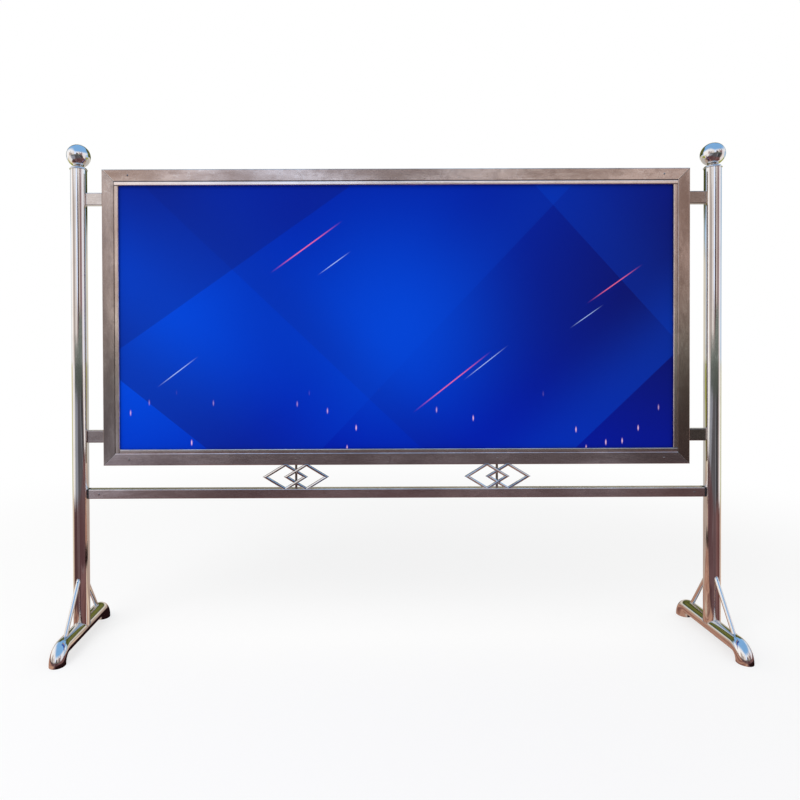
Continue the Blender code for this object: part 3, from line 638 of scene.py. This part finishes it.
# Corner keys
# An angle plate of galvanised steel lies inside the rails at each corner of the frame, behind their
# faces. The corner screws clamp it.
ZINC_TONE = (0.46, 0.47, 0.48)
ZINC_SHADE = (0.33, 0.34, 0.35)
ZINC_ROUGHNESS = 0.36
ZINC_DEPTH = 0.00004
CRYSTAL_SCALE = 95.0
BLOTCH_SCALE = 14.0


def galvanised(name):
    """Zinc-coated steel: crystals a centimetre across, each of its own grey and shine."""
    made = new_finish(name)
    place = made.place()
    grid = {"Vector": place, "Scale": CRYSTAL_SCALE}
    grey = made.parts(made.node('ShaderNodeTexVoronoi', sockets=grid, output=1))[0]
    blotches = made.noise(place, BLOTCH_SCALE, 3.0)
    colour = made.mix(grey * 0.7 + blotches * 0.3, ZINC_TONE, ZINC_SHADE)
    roughness = ZINC_ROUGHNESS + grey * 0.16
    return made.surface(colour, roughness, 1.0, made.bump(grey + blotches, ZINC_DEPTH))


refinish(galvanised("corner_key_zinc"), *[f"{side}_{end}_corner_key"
                                          for side in SIDES for end in ("bottom", "top")])

# Beads
# Bright rolled stainless channels hold the panel on both faces. Their face is flat beside the rail
# and rolls over to the panel, and they are cut square and butted at the corners.
BEAD_WIDTH = 0.017
BEAD_WALL = 0.0012
BEAD_REVEAL = 0.001
BEAD_CREST = 0.0125
BEAD_LIP = 0.0025
BEAD_STEPS = 20
BEAD_EDGE = 0.0015
BEAD_EDGE_STEPS = 6
# Each bead has the tone of its steel and a darker one for its cloudy patches. Both are partly the
# steel's own and partly painted reflection, so each side's bead is painted lighter or darker.
BEAD_PAINTED_REFLECTION_TONES = {"top": ((0.97, 0.85, 0.79), (0.80, 0.67, 0.61)),
              "bottom": ((0.95, 0.84, 0.79), (0.66, 0.53, 0.47)),
              "left": ((0.80, 0.69, 0.63), (0.55, 0.43, 0.38)),
              "right": ((0.84, 0.73, 0.67), (0.58, 0.46, 0.41))}


def bead_outline(depth):
    """Section of a bead as (inward, back) points from its rail's inner edge.

    The edge beside the rail is a quarter circle, (1 - cos b, 1 - sin b), and the face is flat up
    to the crest. From there it is a quarter of an ellipse, (sin a, 1 - cos a), down to the lip,
    and the inside follows it one wall behind.
    """
    angle = quarter_turn(BEAD_STEPS)
    roll = BEAD_WIDTH - WELD_GAP - BEAD_CREST
    fall = depth - BEAD_REVEAL - BEAD_LIP
    crest = WELD_GAP + BEAD_CREST
    face = np.stack((crest + roll * np.sin(angle),
                     BEAD_REVEAL + fall * (1 - np.cos(angle))), axis=-1)
    turn = quarter_turn(BEAD_EDGE_STEPS)
    edge = np.stack((WELD_GAP + BEAD_EDGE * (1 - np.cos(turn)),
                     BEAD_REVEAL + BEAD_EDGE * (1 - np.sin(turn))), axis=-1)
    inside = np.stack((crest + (roll - BEAD_WALL) * np.sin(angle),
                       BEAD_REVEAL + BEAD_WALL + (fall - BEAD_WALL) * (1 - np.cos(angle))), axis=-1)
    return np.concatenate((
        [(WELD_GAP, depth)], edge, face,
        [(BEAD_WIDTH, depth), (BEAD_WIDTH - BEAD_WALL, depth)], inside[::-1],
        [(WELD_GAP + BEAD_WALL, BEAD_REVEAL + BEAD_WALL), (WELD_GAP + BEAD_WALL, depth)]))


for where, along in ALONG.items():
    bead_steel = satin_steel(where + "_bead_bright_steel", along, BEAD_PAINTED_REFLECTION_TONES[where])
    for face, back in (("front", Y), ("rear", -Y)):
        low, high = (np.array(corner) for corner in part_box(f"{face}_{where}_bead"))
        depth = high[1] - low[1] + BEAD_REVEAL
        inward = {"top": -Z, "bottom": Z, "left": X, "right": -X}[where]
        rail_edge = np.where(inward + np.abs(inward) > 0, low, high) - inward * WELD_GAP
        rail_edge[1] = low[1] if face == "front" else high[1]
        rail_edge = rail_edge - back * BEAD_REVEAL
        outline = bead_outline(depth)
        base = rail_edge * (1 - along) + outline[:, :1] * inward + outline[:, 1:] * back
        rings = np.array([base + along * low, base + along * high])
        bead = skin(f"{face}_{where}_strip", rings)
        place_on_board(bead, bead_steel, "bright_bead", f"{face}_{where}_bead")

# Printed sheet
# A blue printed film on a thin sheet faces the board. Its print is a plain design of this model's
# own: a blue gradient crossed by slanting facets and thin light streaks, with small sparks below.
SHEET_BLUE = (0.0001, 0.017, 0.36)
SHEET_BRIGHT = (0.0001, 0.063, 0.68)
SHEET_DEEP = (0.0040, 0.0060, 0.115)
SHEET_LOW = (0.0001, 0.010, 0.38)
SHEET_FADE = (0.05, 0.55)
STREAK_PINK = (0.95, 0.16, 0.30)
STREAK_PALE = (0.45, 0.60, 0.98)
SPARK_TONE = (0.95, 0.55, 0.80)
SPARK_COLUMNS = 34.0
SPARK_ROWS = 4.2
SPARK_SIZE = (0.010, 0.060)
SPARK_CHANCE = (0.42, 0.44)
SPARK_TOP = (0.10, 0.24)
FILM_GRAIN = 1400.0
FILM_ROUGHNESS = 0.34
FILM_DEPTH = 0.00001
# Each glow has its middle in u and v, its size, its amount and its colour.
GLOWS = ((0.02, 0.42, 0.85, 0.95, SHEET_BRIGHT), (0.50, 0.46, 0.62, 0.75, SHEET_BRIGHT),
         (1.04, 0.60, 1.10, 1.00, SHEET_DEEP), (0.06, 1.02, 0.55, 0.55, SHEET_DEEP))
# Each facet has its edge's slope and offset, its width, its amount and its colour.
FACETS = ((-0.80, -0.55, 0.50, 0.45, SHEET_DEEP), (0.95, -0.62, 0.42, 0.30, SHEET_BRIGHT),
          (-1.10, 1.55, 0.60, 0.16, SHEET_BRIGHT), (0.70, 1.10, 0.55, 0.35, SHEET_DEEP),
          (-0.95, 0.10, 0.30, 0.16, SHEET_DEEP), (1.05, 0.30, 0.36, 0.14, SHEET_BRIGHT))
# Each streak has its middle in u and v, its slope, half its length, its width and its colour.
STREAKS = ((0.34, 0.76, 0.72, 0.17, 0.0036, STREAK_PINK),
           (0.39, 0.70, 0.72, 0.08, 0.0024, STREAK_PALE),
           (0.60, 0.26, 0.78, 0.19, 0.0034, STREAK_PINK),
           (0.66, 0.33, 0.78, 0.11, 0.0024, STREAK_PALE),
           (0.89, 0.62, 0.70, 0.13, 0.0032, STREAK_PINK),
           (0.84, 0.50, 0.70, 0.08, 0.0022, STREAK_PALE),
           (0.11, 0.30, 0.75, 0.10, 0.0026, STREAK_PALE))


def printed_sheet():
    """The print, in sheet coordinates u and v that go from 0 to 1 from the lower left corner.

    A glow fades with the distance from its middle. A facet colours one side of a slanting edge and
    fades out across its width. A streak is a thin line through a point, brightest at its middle
    and tapered to both ends. A spark lies at the seed of a tall cell in a random grid, and only
    some cells show theirs.
    """
    made = new_finish("printed_sheet_film")
    low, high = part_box("poster_sheet")
    x, _, z = made.parts(made.place())
    u = (x - low.x) / (high.x - low.x)
    v = (z - low.z) / (high.z - low.z)
    aspect = (high.x - low.x) / (high.z - low.z)
    colour = made.mix(made.between(v, *SHEET_FADE), SHEET_LOW, SHEET_BLUE)
    for centre_u, centre_v, size, amount, tone in GLOWS:
        away = ((u - centre_u) * aspect) ** 2.0 + (v - centre_v) ** 2.0
        glow = 1 - made.between(away ** 0.5, 0.0, size)
        colour = made.mix(glow * amount, colour, tone)
    for slope, offset, width, amount, tone in FACETS:
        across = v - offset - slope * (u - 0.5) * aspect
        facet = made.band(across, 0.0, 0.004, 0.05 * width, width)
        colour = made.mix(facet * amount, colour, tone)
    for centre_u, centre_v, slope, length, width, tone in STREAKS:
        step = 1 / math.sqrt(1 + slope ** 2)
        along = ((u - centre_u) * aspect + (v - centre_v) * slope) * step
        across = ((v - centre_v) - (u - centre_u) * aspect * slope) * step
        taper = 1 - made.between(abs(along), 0.1 * length, length)
        line = 1 - made.between(abs(across), 0.0, width)
        colour = made.mix(line * taper * 0.9, colour, tone)
    grid = {"Vector": made.join(u * SPARK_COLUMNS, v * SPARK_ROWS, 0.0), "Scale": 1.0}
    away, cell = (made.node('ShaderNodeTexVoronoi', {"voronoi_dimensions": '2D'}, grid, output)
                  for output in (0, 1))
    sparks = 1 - made.between(away, *SPARK_SIZE)
    sparks = sparks * made.between(made.parts(cell)[0], *SPARK_CHANCE)
    sparks = sparks * (1 - made.between(v, *SPARK_TOP))
    colour = made.mix(sparks * 0.85, colour, SPARK_TONE)
    grain = made.noise(made.place(), FILM_GRAIN)
    return made.surface(colour, FILM_ROUGHNESS + grain * 0.06, 0.0, made.bump(grain, FILM_DEPTH),
                        Specular_IOR_Level=0.02)


refinish(printed_sheet(), "poster_sheet")

# Backing board and back sheet
# A board of foamed plastic lies behind the printed sheet and keeps it flat. A galvanised steel
# sheet closes the back, and the rear beads hold it.
FOAM_TONE = (0.62, 0.62, 0.60)
FOAM_SHADE = (0.55, 0.55, 0.53)
FOAM_ROUGHNESS = 0.5
FOAM_CLOUDS = 4.0
PORE_SCALE = 1200.0
PORE_DEPTH = 0.00005


def foamed_board():
    """Skinned plastic foam: off-white with fine pores."""
    made = new_finish("backing_board_foam")
    pores = made.noise(made.place(), PORE_SCALE)
    colour = made.mix(made.noise(made.place(), FOAM_CLOUDS), FOAM_TONE, FOAM_SHADE)
    return made.surface(colour, FOAM_ROUGHNESS + pores * 0.1, 0.0, made.bump(pores, PORE_DEPTH))


refinish(foamed_board(), "backing_board")
refinish(galvanised("back_sheet_zinc"), "back_sheet")

# Connectors
# Four short rectangular stainless tubes join the frame to the posts. Their outer ends are coped
# round the posts and welded. Their tones are partly painted reflection: the left ones are painted
# brighter, in place of the more sky that they mirror.
CONNECTOR_PAINTED_REFLECTION_TONES = {"left_upper": ((0.90, 0.86, 0.84), (0.56, 0.49, 0.46)),
                   "left_lower": ((0.62, 0.51, 0.48), (0.40, 0.31, 0.29)),
                   "right_upper": ((0.50, 0.42, 0.37), (0.33, 0.26, 0.22)),
                   "right_lower": ((0.50, 0.42, 0.37), (0.33, 0.26, 0.22))}
for which, tones in CONNECTOR_PAINTED_REFLECTION_TONES.items():
    refinish(satin_steel(which + "_connector_satin_steel", X, tones), which + "_connector")

# Crossbar
# A square stainless tube runs between the posts below the frame. Its ends slide over stubs on the
# posts, and black rubber pads take up the space to the posts.
# The crossbar's tones are painted lighter than the rails' as painted reflection, so that it looks
# lighter than the dark ground it mirrors would make it.
CROSSBAR_PAINTED_REFLECTION_TONES = ((0.95, 0.85, 0.82), (0.60, 0.48, 0.45))
RUBBER_TONE = (0.010, 0.010, 0.011)
BLOOM_TONE = (0.045, 0.042, 0.040)
BLOOM_SCALE = 60.0
BLOOM_EDGES = (0.45, 0.75)
RUBBER_ROUGHNESS = 0.55
RUBBER_GRAIN = 900.0
RUBBER_DEPTH = 0.00008
refinish(satin_steel("crossbar_satin_steel", X, CROSSBAR_PAINTED_REFLECTION_TONES), "crossbar")
refinish(galvanised("crossbar_spigot_zinc"), *[side + "_crossbar_spigot" for side in SIDES])


def black_rubber():
    """Moulded rubber: near black, with a fine grain and a bloom of grey dust."""
    made = new_finish("saddle_black_rubber")
    grain = made.noise(made.place(), RUBBER_GRAIN, 3.0)
    bloom = made.between(made.noise(made.place(), BLOOM_SCALE, 3.0), *BLOOM_EDGES)
    colour = made.mix(bloom * 0.5, RUBBER_TONE, BLOOM_TONE)
    roughness = RUBBER_ROUGHNESS + grain * 0.15
    return made.surface(colour, roughness, 0.0, made.bump(grain, RUBBER_DEPTH))


refinish(black_rubber(), *[side + "_saddle" for side in SIDES])

# Ornaments
# Two rhombi of round stainless bar are welded between crossbar and frame, half-lapped where they
# cross. A round rod stands behind them.
ROD_TONES = ((0.40, 0.34, 0.29), (0.26, 0.21, 0.18))
refinish(mirror_steel("rhombus_polished_steel", X),
         *[f"{side}_ornament_{which}_rhombus" for side in SIDES for which in SIDES])
refinish(satin_steel("rod_satin_steel", Z, ROD_TONES), *[side + "_ornament_rod" for side in SIDES])

# Screws
# Pan-head stainless screws with a cross recess hold the corner keys, the rods and the crossbar.
# Head and shank are one piece.
SCREW_TONES = ((0.50, 0.44, 0.41), (0.34, 0.29, 0.27))
HEAD_RADIUS = 0.004
HEAD_HEIGHT = 0.0022
SHANK_RADIUS = 0.0024
RECESS_REACH = 0.0022
RECESS_WIDTH = 0.00045
RECESS_DEPTH = 0.0012
RECESS_FLANK = 0.00012
RECESS_TIP = 0.0004
HEAD_STEPS = 27
HEAD_FACETS = 72


def screw(name, centre, face_y, tip_y):
    """A pan head with a cross cut into it, and its shank.

    The head's height at radius r is HEAD_HEIGHT * sqrt(1 - (r / HEAD_RADIUS)^2), less the recess,
    which is deep where the point lies near the X or Z axis and within its reach.
    """
    share = quarter_turn(HEAD_STEPS)[:, None]
    angle = full_turn(HEAD_FACETS)
    radius = HEAD_RADIUS * np.sin(share) + 0 * angle
    across, along = (part * radius
                     for part in np.sort(np.abs((np.cos(angle), np.sin(angle))), axis=0))
    cut = (np.clip((RECESS_WIDTH - across) / RECESS_FLANK, 0, 1)
           * np.clip((RECESS_REACH - along) / RECESS_TIP, 0, 1))
    height = HEAD_HEIGHT * np.cos(share) - RECESS_DEPTH * cut
    dome = np.stack((centre[0] + radius * np.cos(angle), face_y - height,
                     centre[1] + radius * np.sin(angle)), axis=-1)
    shank = np.array([circle(np.array((centre[0], y, centre[1])), X, Z, SHANK_RADIUS, HEAD_FACETS)
                      for y in (face_y, tip_y)])
    return skin(name, np.concatenate((dome, shank)))


screw_steel = satin_steel("screw_plain_steel", Y, SCREW_TONES)
for name in sorted(nodes):
    if name.endswith("_screw"):
        low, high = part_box(name)
        centre = ((low.x + high.x) / 2, (low.z + high.z) / 2)
        place_on_board(screw(name.replace("_screw", "_bolt"), centre, low.y + HEAD_HEIGHT, high.y),
                       screw_steel, "screw_steel", name)

# Where it stands
# A plain pale floor fades into a white background. A painted surround, seen only in reflections,
# gives the polished steel a street in front, a hedge behind, paving and a sky to mirror.
FLOOR_SIZE = 30.0
FLOOR_FADE = (2.0, 4.5)
FLOOR_TONE = (0.90, 0.90, 0.90)
FLOOR_SHADOW = 0.36
SURROUND_RADIUS = 60.0
GROUND_DROP = 0.004
# Each stop of a skyline, paving or road has its bearing and its colour.
SKYLINE = ((0.00, (0.72, 0.70, 0.68)), (0.045, (0.66, 0.65, 0.62)), (0.055, (0.07, 0.11, 0.03)),
           (0.075, (0.10, 0.15, 0.04)), (0.085, (0.42, 0.66, 0.92)), (0.165, (0.62, 0.80, 1.05)),
           (0.190, (1.15, 1.15, 1.15)), (0.290, (1.20, 1.18, 1.16)), (0.310, (0.72, 0.58, 0.50)),
           (0.335, (0.50, 0.45, 0.43)), (0.395, (0.54, 0.48, 0.46)), (0.410, (0.98, 0.93, 0.90)),
           (0.455, (0.86, 0.79, 0.75)), (0.470, (0.50, 0.42, 0.41)), (0.500, (0.40, 0.32, 0.31)),
           (0.508, (0.085, 0.045, 0.045)), (0.545, (0.11, 0.06, 0.06)), (0.555, (0.82, 0.73, 0.68)),
           (0.590, (0.62, 0.53, 0.49)), (0.602, (0.24, 0.14, 0.15)), (0.655, (0.36, 0.23, 0.24)),
           (0.672, (0.98, 0.95, 1.00)), (0.750, (0.92, 0.95, 1.05)), (0.775, (0.50, 0.72, 0.98)),
           (0.845, (0.42, 0.66, 0.94)), (0.855, (0.10, 0.15, 0.04)), (0.875, (0.07, 0.11, 0.03)),
           (0.890, (0.62, 0.62, 0.60)), (1.00, (0.72, 0.70, 0.68)))
SKYLINE_HEIGHT = 0.26
SKYLINE_EDGE = (-0.02, 0.05)
SKYLINE_SPIKES = 0.42
SPIKE_COLUMNS, SPIKE_ROWS = 55.0, 1.5
SPIKE_EDGES = (0.42, 0.72)
FOLIAGE = (0.40, 0.62)
HEDGE_START = (0.325, 0.375)
HEDGE_FOOT = (0.20, 0.24)
HEDGE_HEIGHT = 0.74
HEDGE_COLUMNS, HEDGE_ROWS = 6.0, 14.0
HEDGE_LIGHT = (0.20, 0.21, 0.055)
HEDGE_DARK = (0.035, 0.045, 0.012)
HAZE = (0.80, 0.75, 0.64)
HAZE_TOP = (0.15, 0.20)
OPENING = (0.448, 0.458, 0.497, 0.507)
OPENING_HEIGHT = 0.08
OPENING_SKY = (0.95, 1.10, 1.38)
STREET_MIDDLE = 0.51
STREET_EDGE = (0.13, 0.16)
TREES_COLUMNS, TREES_ROWS = 90.0, 60.0
TREES_LIGHT = (0.34, 0.38, 0.35)
TREES_DARK = (0.09, 0.11, 0.095)
TREES_HEIGHT = 0.028
TREES_RISE = 0.050
TREES_EDGE = (-0.004, 0.004)
TREES_SLOPE = (0.49, 0.56)
TREES_START = (12.0, 18.0)
BLUE_SKY = (0.26, 0.54, 0.95)
BLUE_HEIGHT = (0.30, 0.66)
WHITE_SKY = (1.15, 1.17, 1.20)
SUN_BEARING = 0.32
SUN_SPREAD = (0.03, 0.18)
SUN_RISE = 0.24
PAVING = ((0.00, (0.55, 0.44, 0.38)), (0.135, (0.62, 0.46, 0.36)), (0.150, (0.92, 0.82, 0.66)),
          (0.225, (0.90, 0.78, 0.62)), (0.240, (0.44, 0.27, 0.21)), (0.275, (0.34, 0.20, 0.165)),
          (0.290, (0.085, 0.038, 0.04)), (0.415, (0.10, 0.047, 0.05)), (0.430, (0.17, 0.095, 0.10)),
          (0.545, (0.11, 0.05, 0.055)), (0.560, (0.24, 0.125, 0.125)), (0.640, (0.20, 0.09, 0.085)),
          (0.715, (0.12, 0.030, 0.028)), (0.745, (0.95, 0.88, 0.82)), (0.765, (0.60, 0.34, 0.26)),
          (0.850, (0.95, 0.78, 0.60)), (0.880, (0.52, 0.38, 0.31)), (1.00, (0.55, 0.44, 0.38)))
ROAD = ((0.00, (0.62, 0.60, 0.57)), (0.100, (0.60, 0.58, 0.52)), (0.115, (0.38, 0.42, 0.045)),
        (0.172, (0.42, 0.46, 0.05)), (0.185, (0.90, 0.80, 0.55)), (0.225, (0.95, 0.86, 0.68)),
        (0.245, (1.10, 1.08, 1.05)), (0.335, (1.05, 1.04, 1.04)), (0.350, (0.40, 0.42, 0.48)),
        (0.400, (0.34, 0.36, 0.42)), (0.415, (0.28, 0.30, 0.36)), (0.455, (0.34, 0.35, 0.40)),
        (0.475, (0.105, 0.100, 0.115)), (0.520, (0.12, 0.115, 0.125)), (0.540, (0.24, 0.25, 0.29)),
        (0.560, (0.050, 0.050, 0.058)), (0.630, (0.060, 0.055, 0.055)), (0.665, (0.40, 0.29, 0.29)),
        (0.680, (1.05, 1.00, 0.98)), (0.780, (1.08, 1.05, 1.02)), (0.795, (0.42, 0.46, 0.05)),
        (0.855, (0.38, 0.42, 0.045)), (0.870, (0.60, 0.58, 0.52)), (1.00, (0.62, 0.60, 0.57)))
ROAD_START = (2.1, 2.9)
ROAD_EDGE_SCALE = 1.1
RAY_COLUMNS, RAY_ROWS = 34.0, 0.12
RAY_SWAY = 0.035
GLINT_TONE = (0.62, 0.58, 0.58)
GLINT_EDGES = (0.50, 0.80)
GRIME_TONE = (0.04, 0.025, 0.028)
GRIME_EDGES = (0.28, 0.48)
SUNLIT_LENGTH = (-0.30, -0.26, 0.55, 0.60)
SUNLIT_WIDTH = (-0.36, -0.20, -0.02, 0.0)
SUNLIT_PAVING = (0.62, 0.36, 0.26)
WORN_PAVING = (0.26, 0.12, 0.095)
WEAR_SCALE, WEAR_STRETCH = 26.0, 9.0
WEAR_EDGES = (0.40, 0.66)
SHADOW_WIDTH = (0.0, 0.01, 0.09, 0.13)
FOOT_SHADOW = (0.018, 0.007, 0.007)


def seen_directly(made):
    """1 for a ray from the camera or from metal or glass, and 0 for one that only lights."""
    paths = made.node('ShaderNodeLightPath').socket.node.outputs
    camera, glossy, through = (Wire(made, paths[f"Is {kind} Ray"])
                               for kind in ("Camera", "Glossy", "Transmission"))
    return made.node('ShaderNodeMath', {"operation": 'ADD', "use_clamp": True},
                     {0: camera + glossy, 1: through})


def light_of(made, colour):
    return made.node('ShaderNodeEmission', sockets={"Color": colour, "Strength": 1.0})


def shown_by(made, shader):
    """Feeds a shader to the material's output in place of the Principled one."""
    made.feed(made.tree.nodes["Material Output"].inputs["Surface"], shader)
    return made.owner


def pale_floor():
    """Matt pale floor that turns into the white background away from the object.

    What sees it directly sees it mixed with plain white, so that shadows stay light on it.
    """
    made = new_finish("studio_floor")
    x, y, _ = made.parts(made.place())
    away = made.between((x * x + y * y) ** 0.5, *FLOOR_FADE)
    plain = made.node('ShaderNodeBsdfDiffuse', sockets={"Color": FLOOR_TONE})
    white = light_of(made, (1.0, 1.0, 1.0))
    share = seen_directly(made) * (1 - FLOOR_SHADOW + away * FLOOR_SHADOW)
    return shown_by(made, made.node('ShaderNodeMixShader', sockets={0: share, 1: plain, 2: white}))


def bearing_of(made, x, y):
    """From 0 behind the board, over 0.25 on its left and 0.5 in front, to 1 behind it again."""
    turn = made.node('ShaderNodeMath', {"operation": 'ARCTAN2'}, {0: x, 1: 0 - y})
    return turn / (2 * math.pi) + 0.5


def by_bearing(made, stops, bearing):
    return made.node('ShaderNodeValToRGB', {"stops": stops}, {0: bearing})


def street_side(made, bearing):
    """1 in front of the board, and 0 on both its sides and behind it."""
    return 1 - made.between(abs(bearing - STREET_MIDDLE), *STREET_EDGE)


def painted_sky():
    """The surround's paint, from each point's bearing and height as seen from its middle.

    The skyline is a row of uneven spikes in front, with an opening to the sky and trees along its
    foot, and a hedge over haze behind. The white sky turns blue higher up, and highest at the sun.
    """
    made = new_finish("painted_sky")
    x, y, z = made.parts(made.place() / SURROUND_RADIUS)
    bearing = bearing_of(made, x, y)
    row = made.join(bearing * SPIKE_COLUMNS, z * SPIKE_ROWS, 0.0)
    spikes = made.between(made.noise(row, 1.0), *SPIKE_EDGES)
    behind = made.between(abs(bearing - 0.5), *HEDGE_START)
    top = (SKYLINE_HEIGHT + spikes * SKYLINE_SPIKES * (1 - behind)
           + behind * (HEDGE_HEIGHT - SKYLINE_HEIGHT))
    opening = made.band(bearing, *OPENING)
    top = top * (1 - opening) + opening * OPENING_HEIGHT
    sun = 1 - made.between(abs(bearing - SUN_BEARING), *SUN_SPREAD)
    blue = made.between(z - sun * SUN_RISE, *BLUE_HEIGHT)
    sky = made.mix(blue, made.mix(opening, WHITE_SKY, OPENING_SKY), BLUE_SKY)
    leaves = made.noise(made.join(bearing * HEDGE_COLUMNS, z * HEDGE_ROWS, 0.0), 1.0, 4.0)
    hedge = made.mix(made.between(leaves, *FOLIAGE), HEDGE_DARK, HEDGE_LIGHT)
    skyline = by_bearing(made, SKYLINE, bearing)
    skyline = made.mix(behind * made.between(z, *HEDGE_FOOT), skyline, hedge)
    skyline = made.mix(behind * (1 - made.between(z, *HAZE_TOP)), skyline, HAZE)
    trunks = made.noise(made.join(bearing * TREES_COLUMNS, z * TREES_ROWS, 1.0), 1.0, 3.0)
    trees = made.mix(made.between(trunks, *FOLIAGE), TREES_DARK, TREES_LIGHT)
    crest = made.between(bearing, *TREES_SLOPE) * TREES_RISE + trunks * 0.016 + TREES_HEIGHT
    below = street_side(made, bearing) * (1 - made.between(z - crest, *TREES_EDGE))
    skyline = made.mix(below, skyline, trees)
    picture = made.mix(made.between(z - top, *SKYLINE_EDGE), skyline, sky)
    return shown_by(made, light_of(made, picture))


def painted_ground():
    """The paint under the surround: a paved patch round each foot and a road past it.

    Both are painted in sectors by the bearing from the nearer foot, with fine radial streaks. Far
    out on the street's side the road turns as dark as the trees.
    """
    made = new_finish("painted_ground")
    place = made.place()
    x, y, _ = made.parts(place)
    half = made.node('ShaderNodeClamp', sockets={"Value": x, "Min": -1.0, "Max": 1.0})
    beside = x - half * foot_x
    distance = (beside * beside + y * y) ** 0.5
    bearing = bearing_of(made, beside, y)
    rays = made.noise(made.join(bearing * RAY_COLUMNS, distance * RAY_ROWS, half), 1.0, 4.0, 0.62)
    bearing = bearing + (rays - 0.5) * RAY_SWAY
    shaded = street_side(made, bearing) * made.between(distance, *TREES_START)
    near = by_bearing(made, PAVING, bearing)
    far = made.mix(shaded, by_bearing(made, ROAD, bearing), TREES_DARK)
    rough = made.noise(place, ROAD_EDGE_SCALE, 3.0) - 0.5
    colour = made.mix(made.between(distance + rough, *ROAD_START), near, far)
    colour = made.mix(made.between(rays, *GLINT_EDGES) * 0.35, colour, GLINT_TONE)
    colour = made.mix((1 - made.between(rays, *GRIME_EDGES)) * 0.5, colour, GRIME_TONE)
    strip = made.band(y, *SUNLIT_LENGTH)
    wear = made.noise(made.drawn_out(place, Y, WEAR_STRETCH), WEAR_SCALE, 3.0)
    sunlit = made.mix(made.between(wear, *WEAR_EDGES), SUNLIT_PAVING, WORN_PAVING)
    colour = made.mix(strip * made.band(beside, *SUNLIT_WIDTH), colour, sunlit)
    colour = made.mix(strip * made.band(beside, *SHADOW_WIDTH), colour, FOOT_SHADOW)
    return shown_by(made, light_of(made, colour))


def stage_piece(name, work, finish, only_mirrored):
    """A stage piece. One that is only mirrored shows in reflections and nowhere else."""
    mesh = bpy.data.meshes.new(name)
    work.to_mesh(mesh)
    work.free()
    mesh.materials.append(finish)
    piece = put_in_scene(name, mesh)
    piece.visible_glossy = only_mirrored
    for rays in ("camera", "diffuse", "shadow", "transmission"):
        setattr(piece, "visible_" + rays, not only_mirrored)


for name, size, drop, finish, only_mirrored in (
        ("floor", FLOOR_SIZE, 0.0, pale_floor(), False),
        ("painted_ground", 2 * SURROUND_RADIUS, GROUND_DROP, painted_ground(), True)):
    work = bmesh.new()
    bmesh.ops.create_grid(work, x_segments=1, y_segments=1, size=size / 2,
                          matrix=Matrix.Translation((0, 0, -drop)))
    stage_piece(name, work, finish, only_mirrored)
work = bmesh.new()
bmesh.ops.create_uvsphere(work, u_segments=96, v_segments=48, radius=SURROUND_RADIUS)
stage_piece("painted_sky", work, painted_sky(), True)

# Light and camera
# An even white studio with one large soft lamp above on the left, and a camera a little below the
# height of the board's middle, as in the photograph.
STUDIO_LEVEL = 0.88
LAMP_PLACE = (-2.6, -3.2, 4.6)
LAMP_AIM = (0.0, 0.0, 0.9)
LAMP_SIZE = 3.0
LAMP_POWER = 95.0
SENSOR_WIDTH = 36.0
FOCAL_PIXELS = 575.0
PICTURE = 800
PRINCIPAL = (351.387, 355.450)
CAMERA_PLACE = (-0.18668, -2.35512, 1.18209)
CAMERA_DOWN = 0.0086
CAMERA_TURN = 0.00105
CAMERA_ROLL = -0.00344

world = bpy.data.worlds.new("studio")
bpy.context.scene.world = world
made = Finish(world)
background = world.node_tree.nodes["Background"]
made.feed(background.inputs["Color"], (1.0, 1.0, 1.0))
made.feed(background.inputs["Strength"], STUDIO_LEVEL + seen_directly(made) * (1 - STUDIO_LEVEL))

lamp_data = bpy.data.lights.new("soft_lamp", 'AREA')
lamp_data.shape = 'DISK'
lamp_data.size = LAMP_SIZE
lamp_data.energy = LAMP_POWER
lamp = put_in_scene("soft_lamp", lamp_data)
lamp.location = LAMP_PLACE
lamp.rotation_euler = (Vector(LAMP_AIM) - Vector(LAMP_PLACE)).to_track_quat('-Z', 'Y').to_euler()
lamp.visible_glossy = False

camera_data = bpy.data.cameras.new("camera")
camera_data.sensor_width = SENSOR_WIDTH
camera_data.lens = FOCAL_PIXELS / PICTURE * SENSOR_WIDTH
camera_data.shift_x = (PICTURE / 2 - PRINCIPAL[0]) / PICTURE
camera_data.shift_y = (PRINCIPAL[1] - PICTURE / 2) / PICTURE
camera = put_in_scene("camera", camera_data)
turned_view = (Matrix.Rotation(CAMERA_ROLL, 3, 'Y') @ Matrix.Rotation(CAMERA_DOWN, 3, 'X')
               @ Matrix.Rotation(CAMERA_TURN, 3, 'Z'))
right, forward, up = (Vector(row) for row in turned_view)
axes = Matrix((right, up, -forward)).transposed().to_4x4()
camera.matrix_world = Matrix.Translation(CAMERA_PLACE) @ axes
bpy.context.scene.camera = camera
bpy.context.scene.view_settings.view_transform = 'Standard'
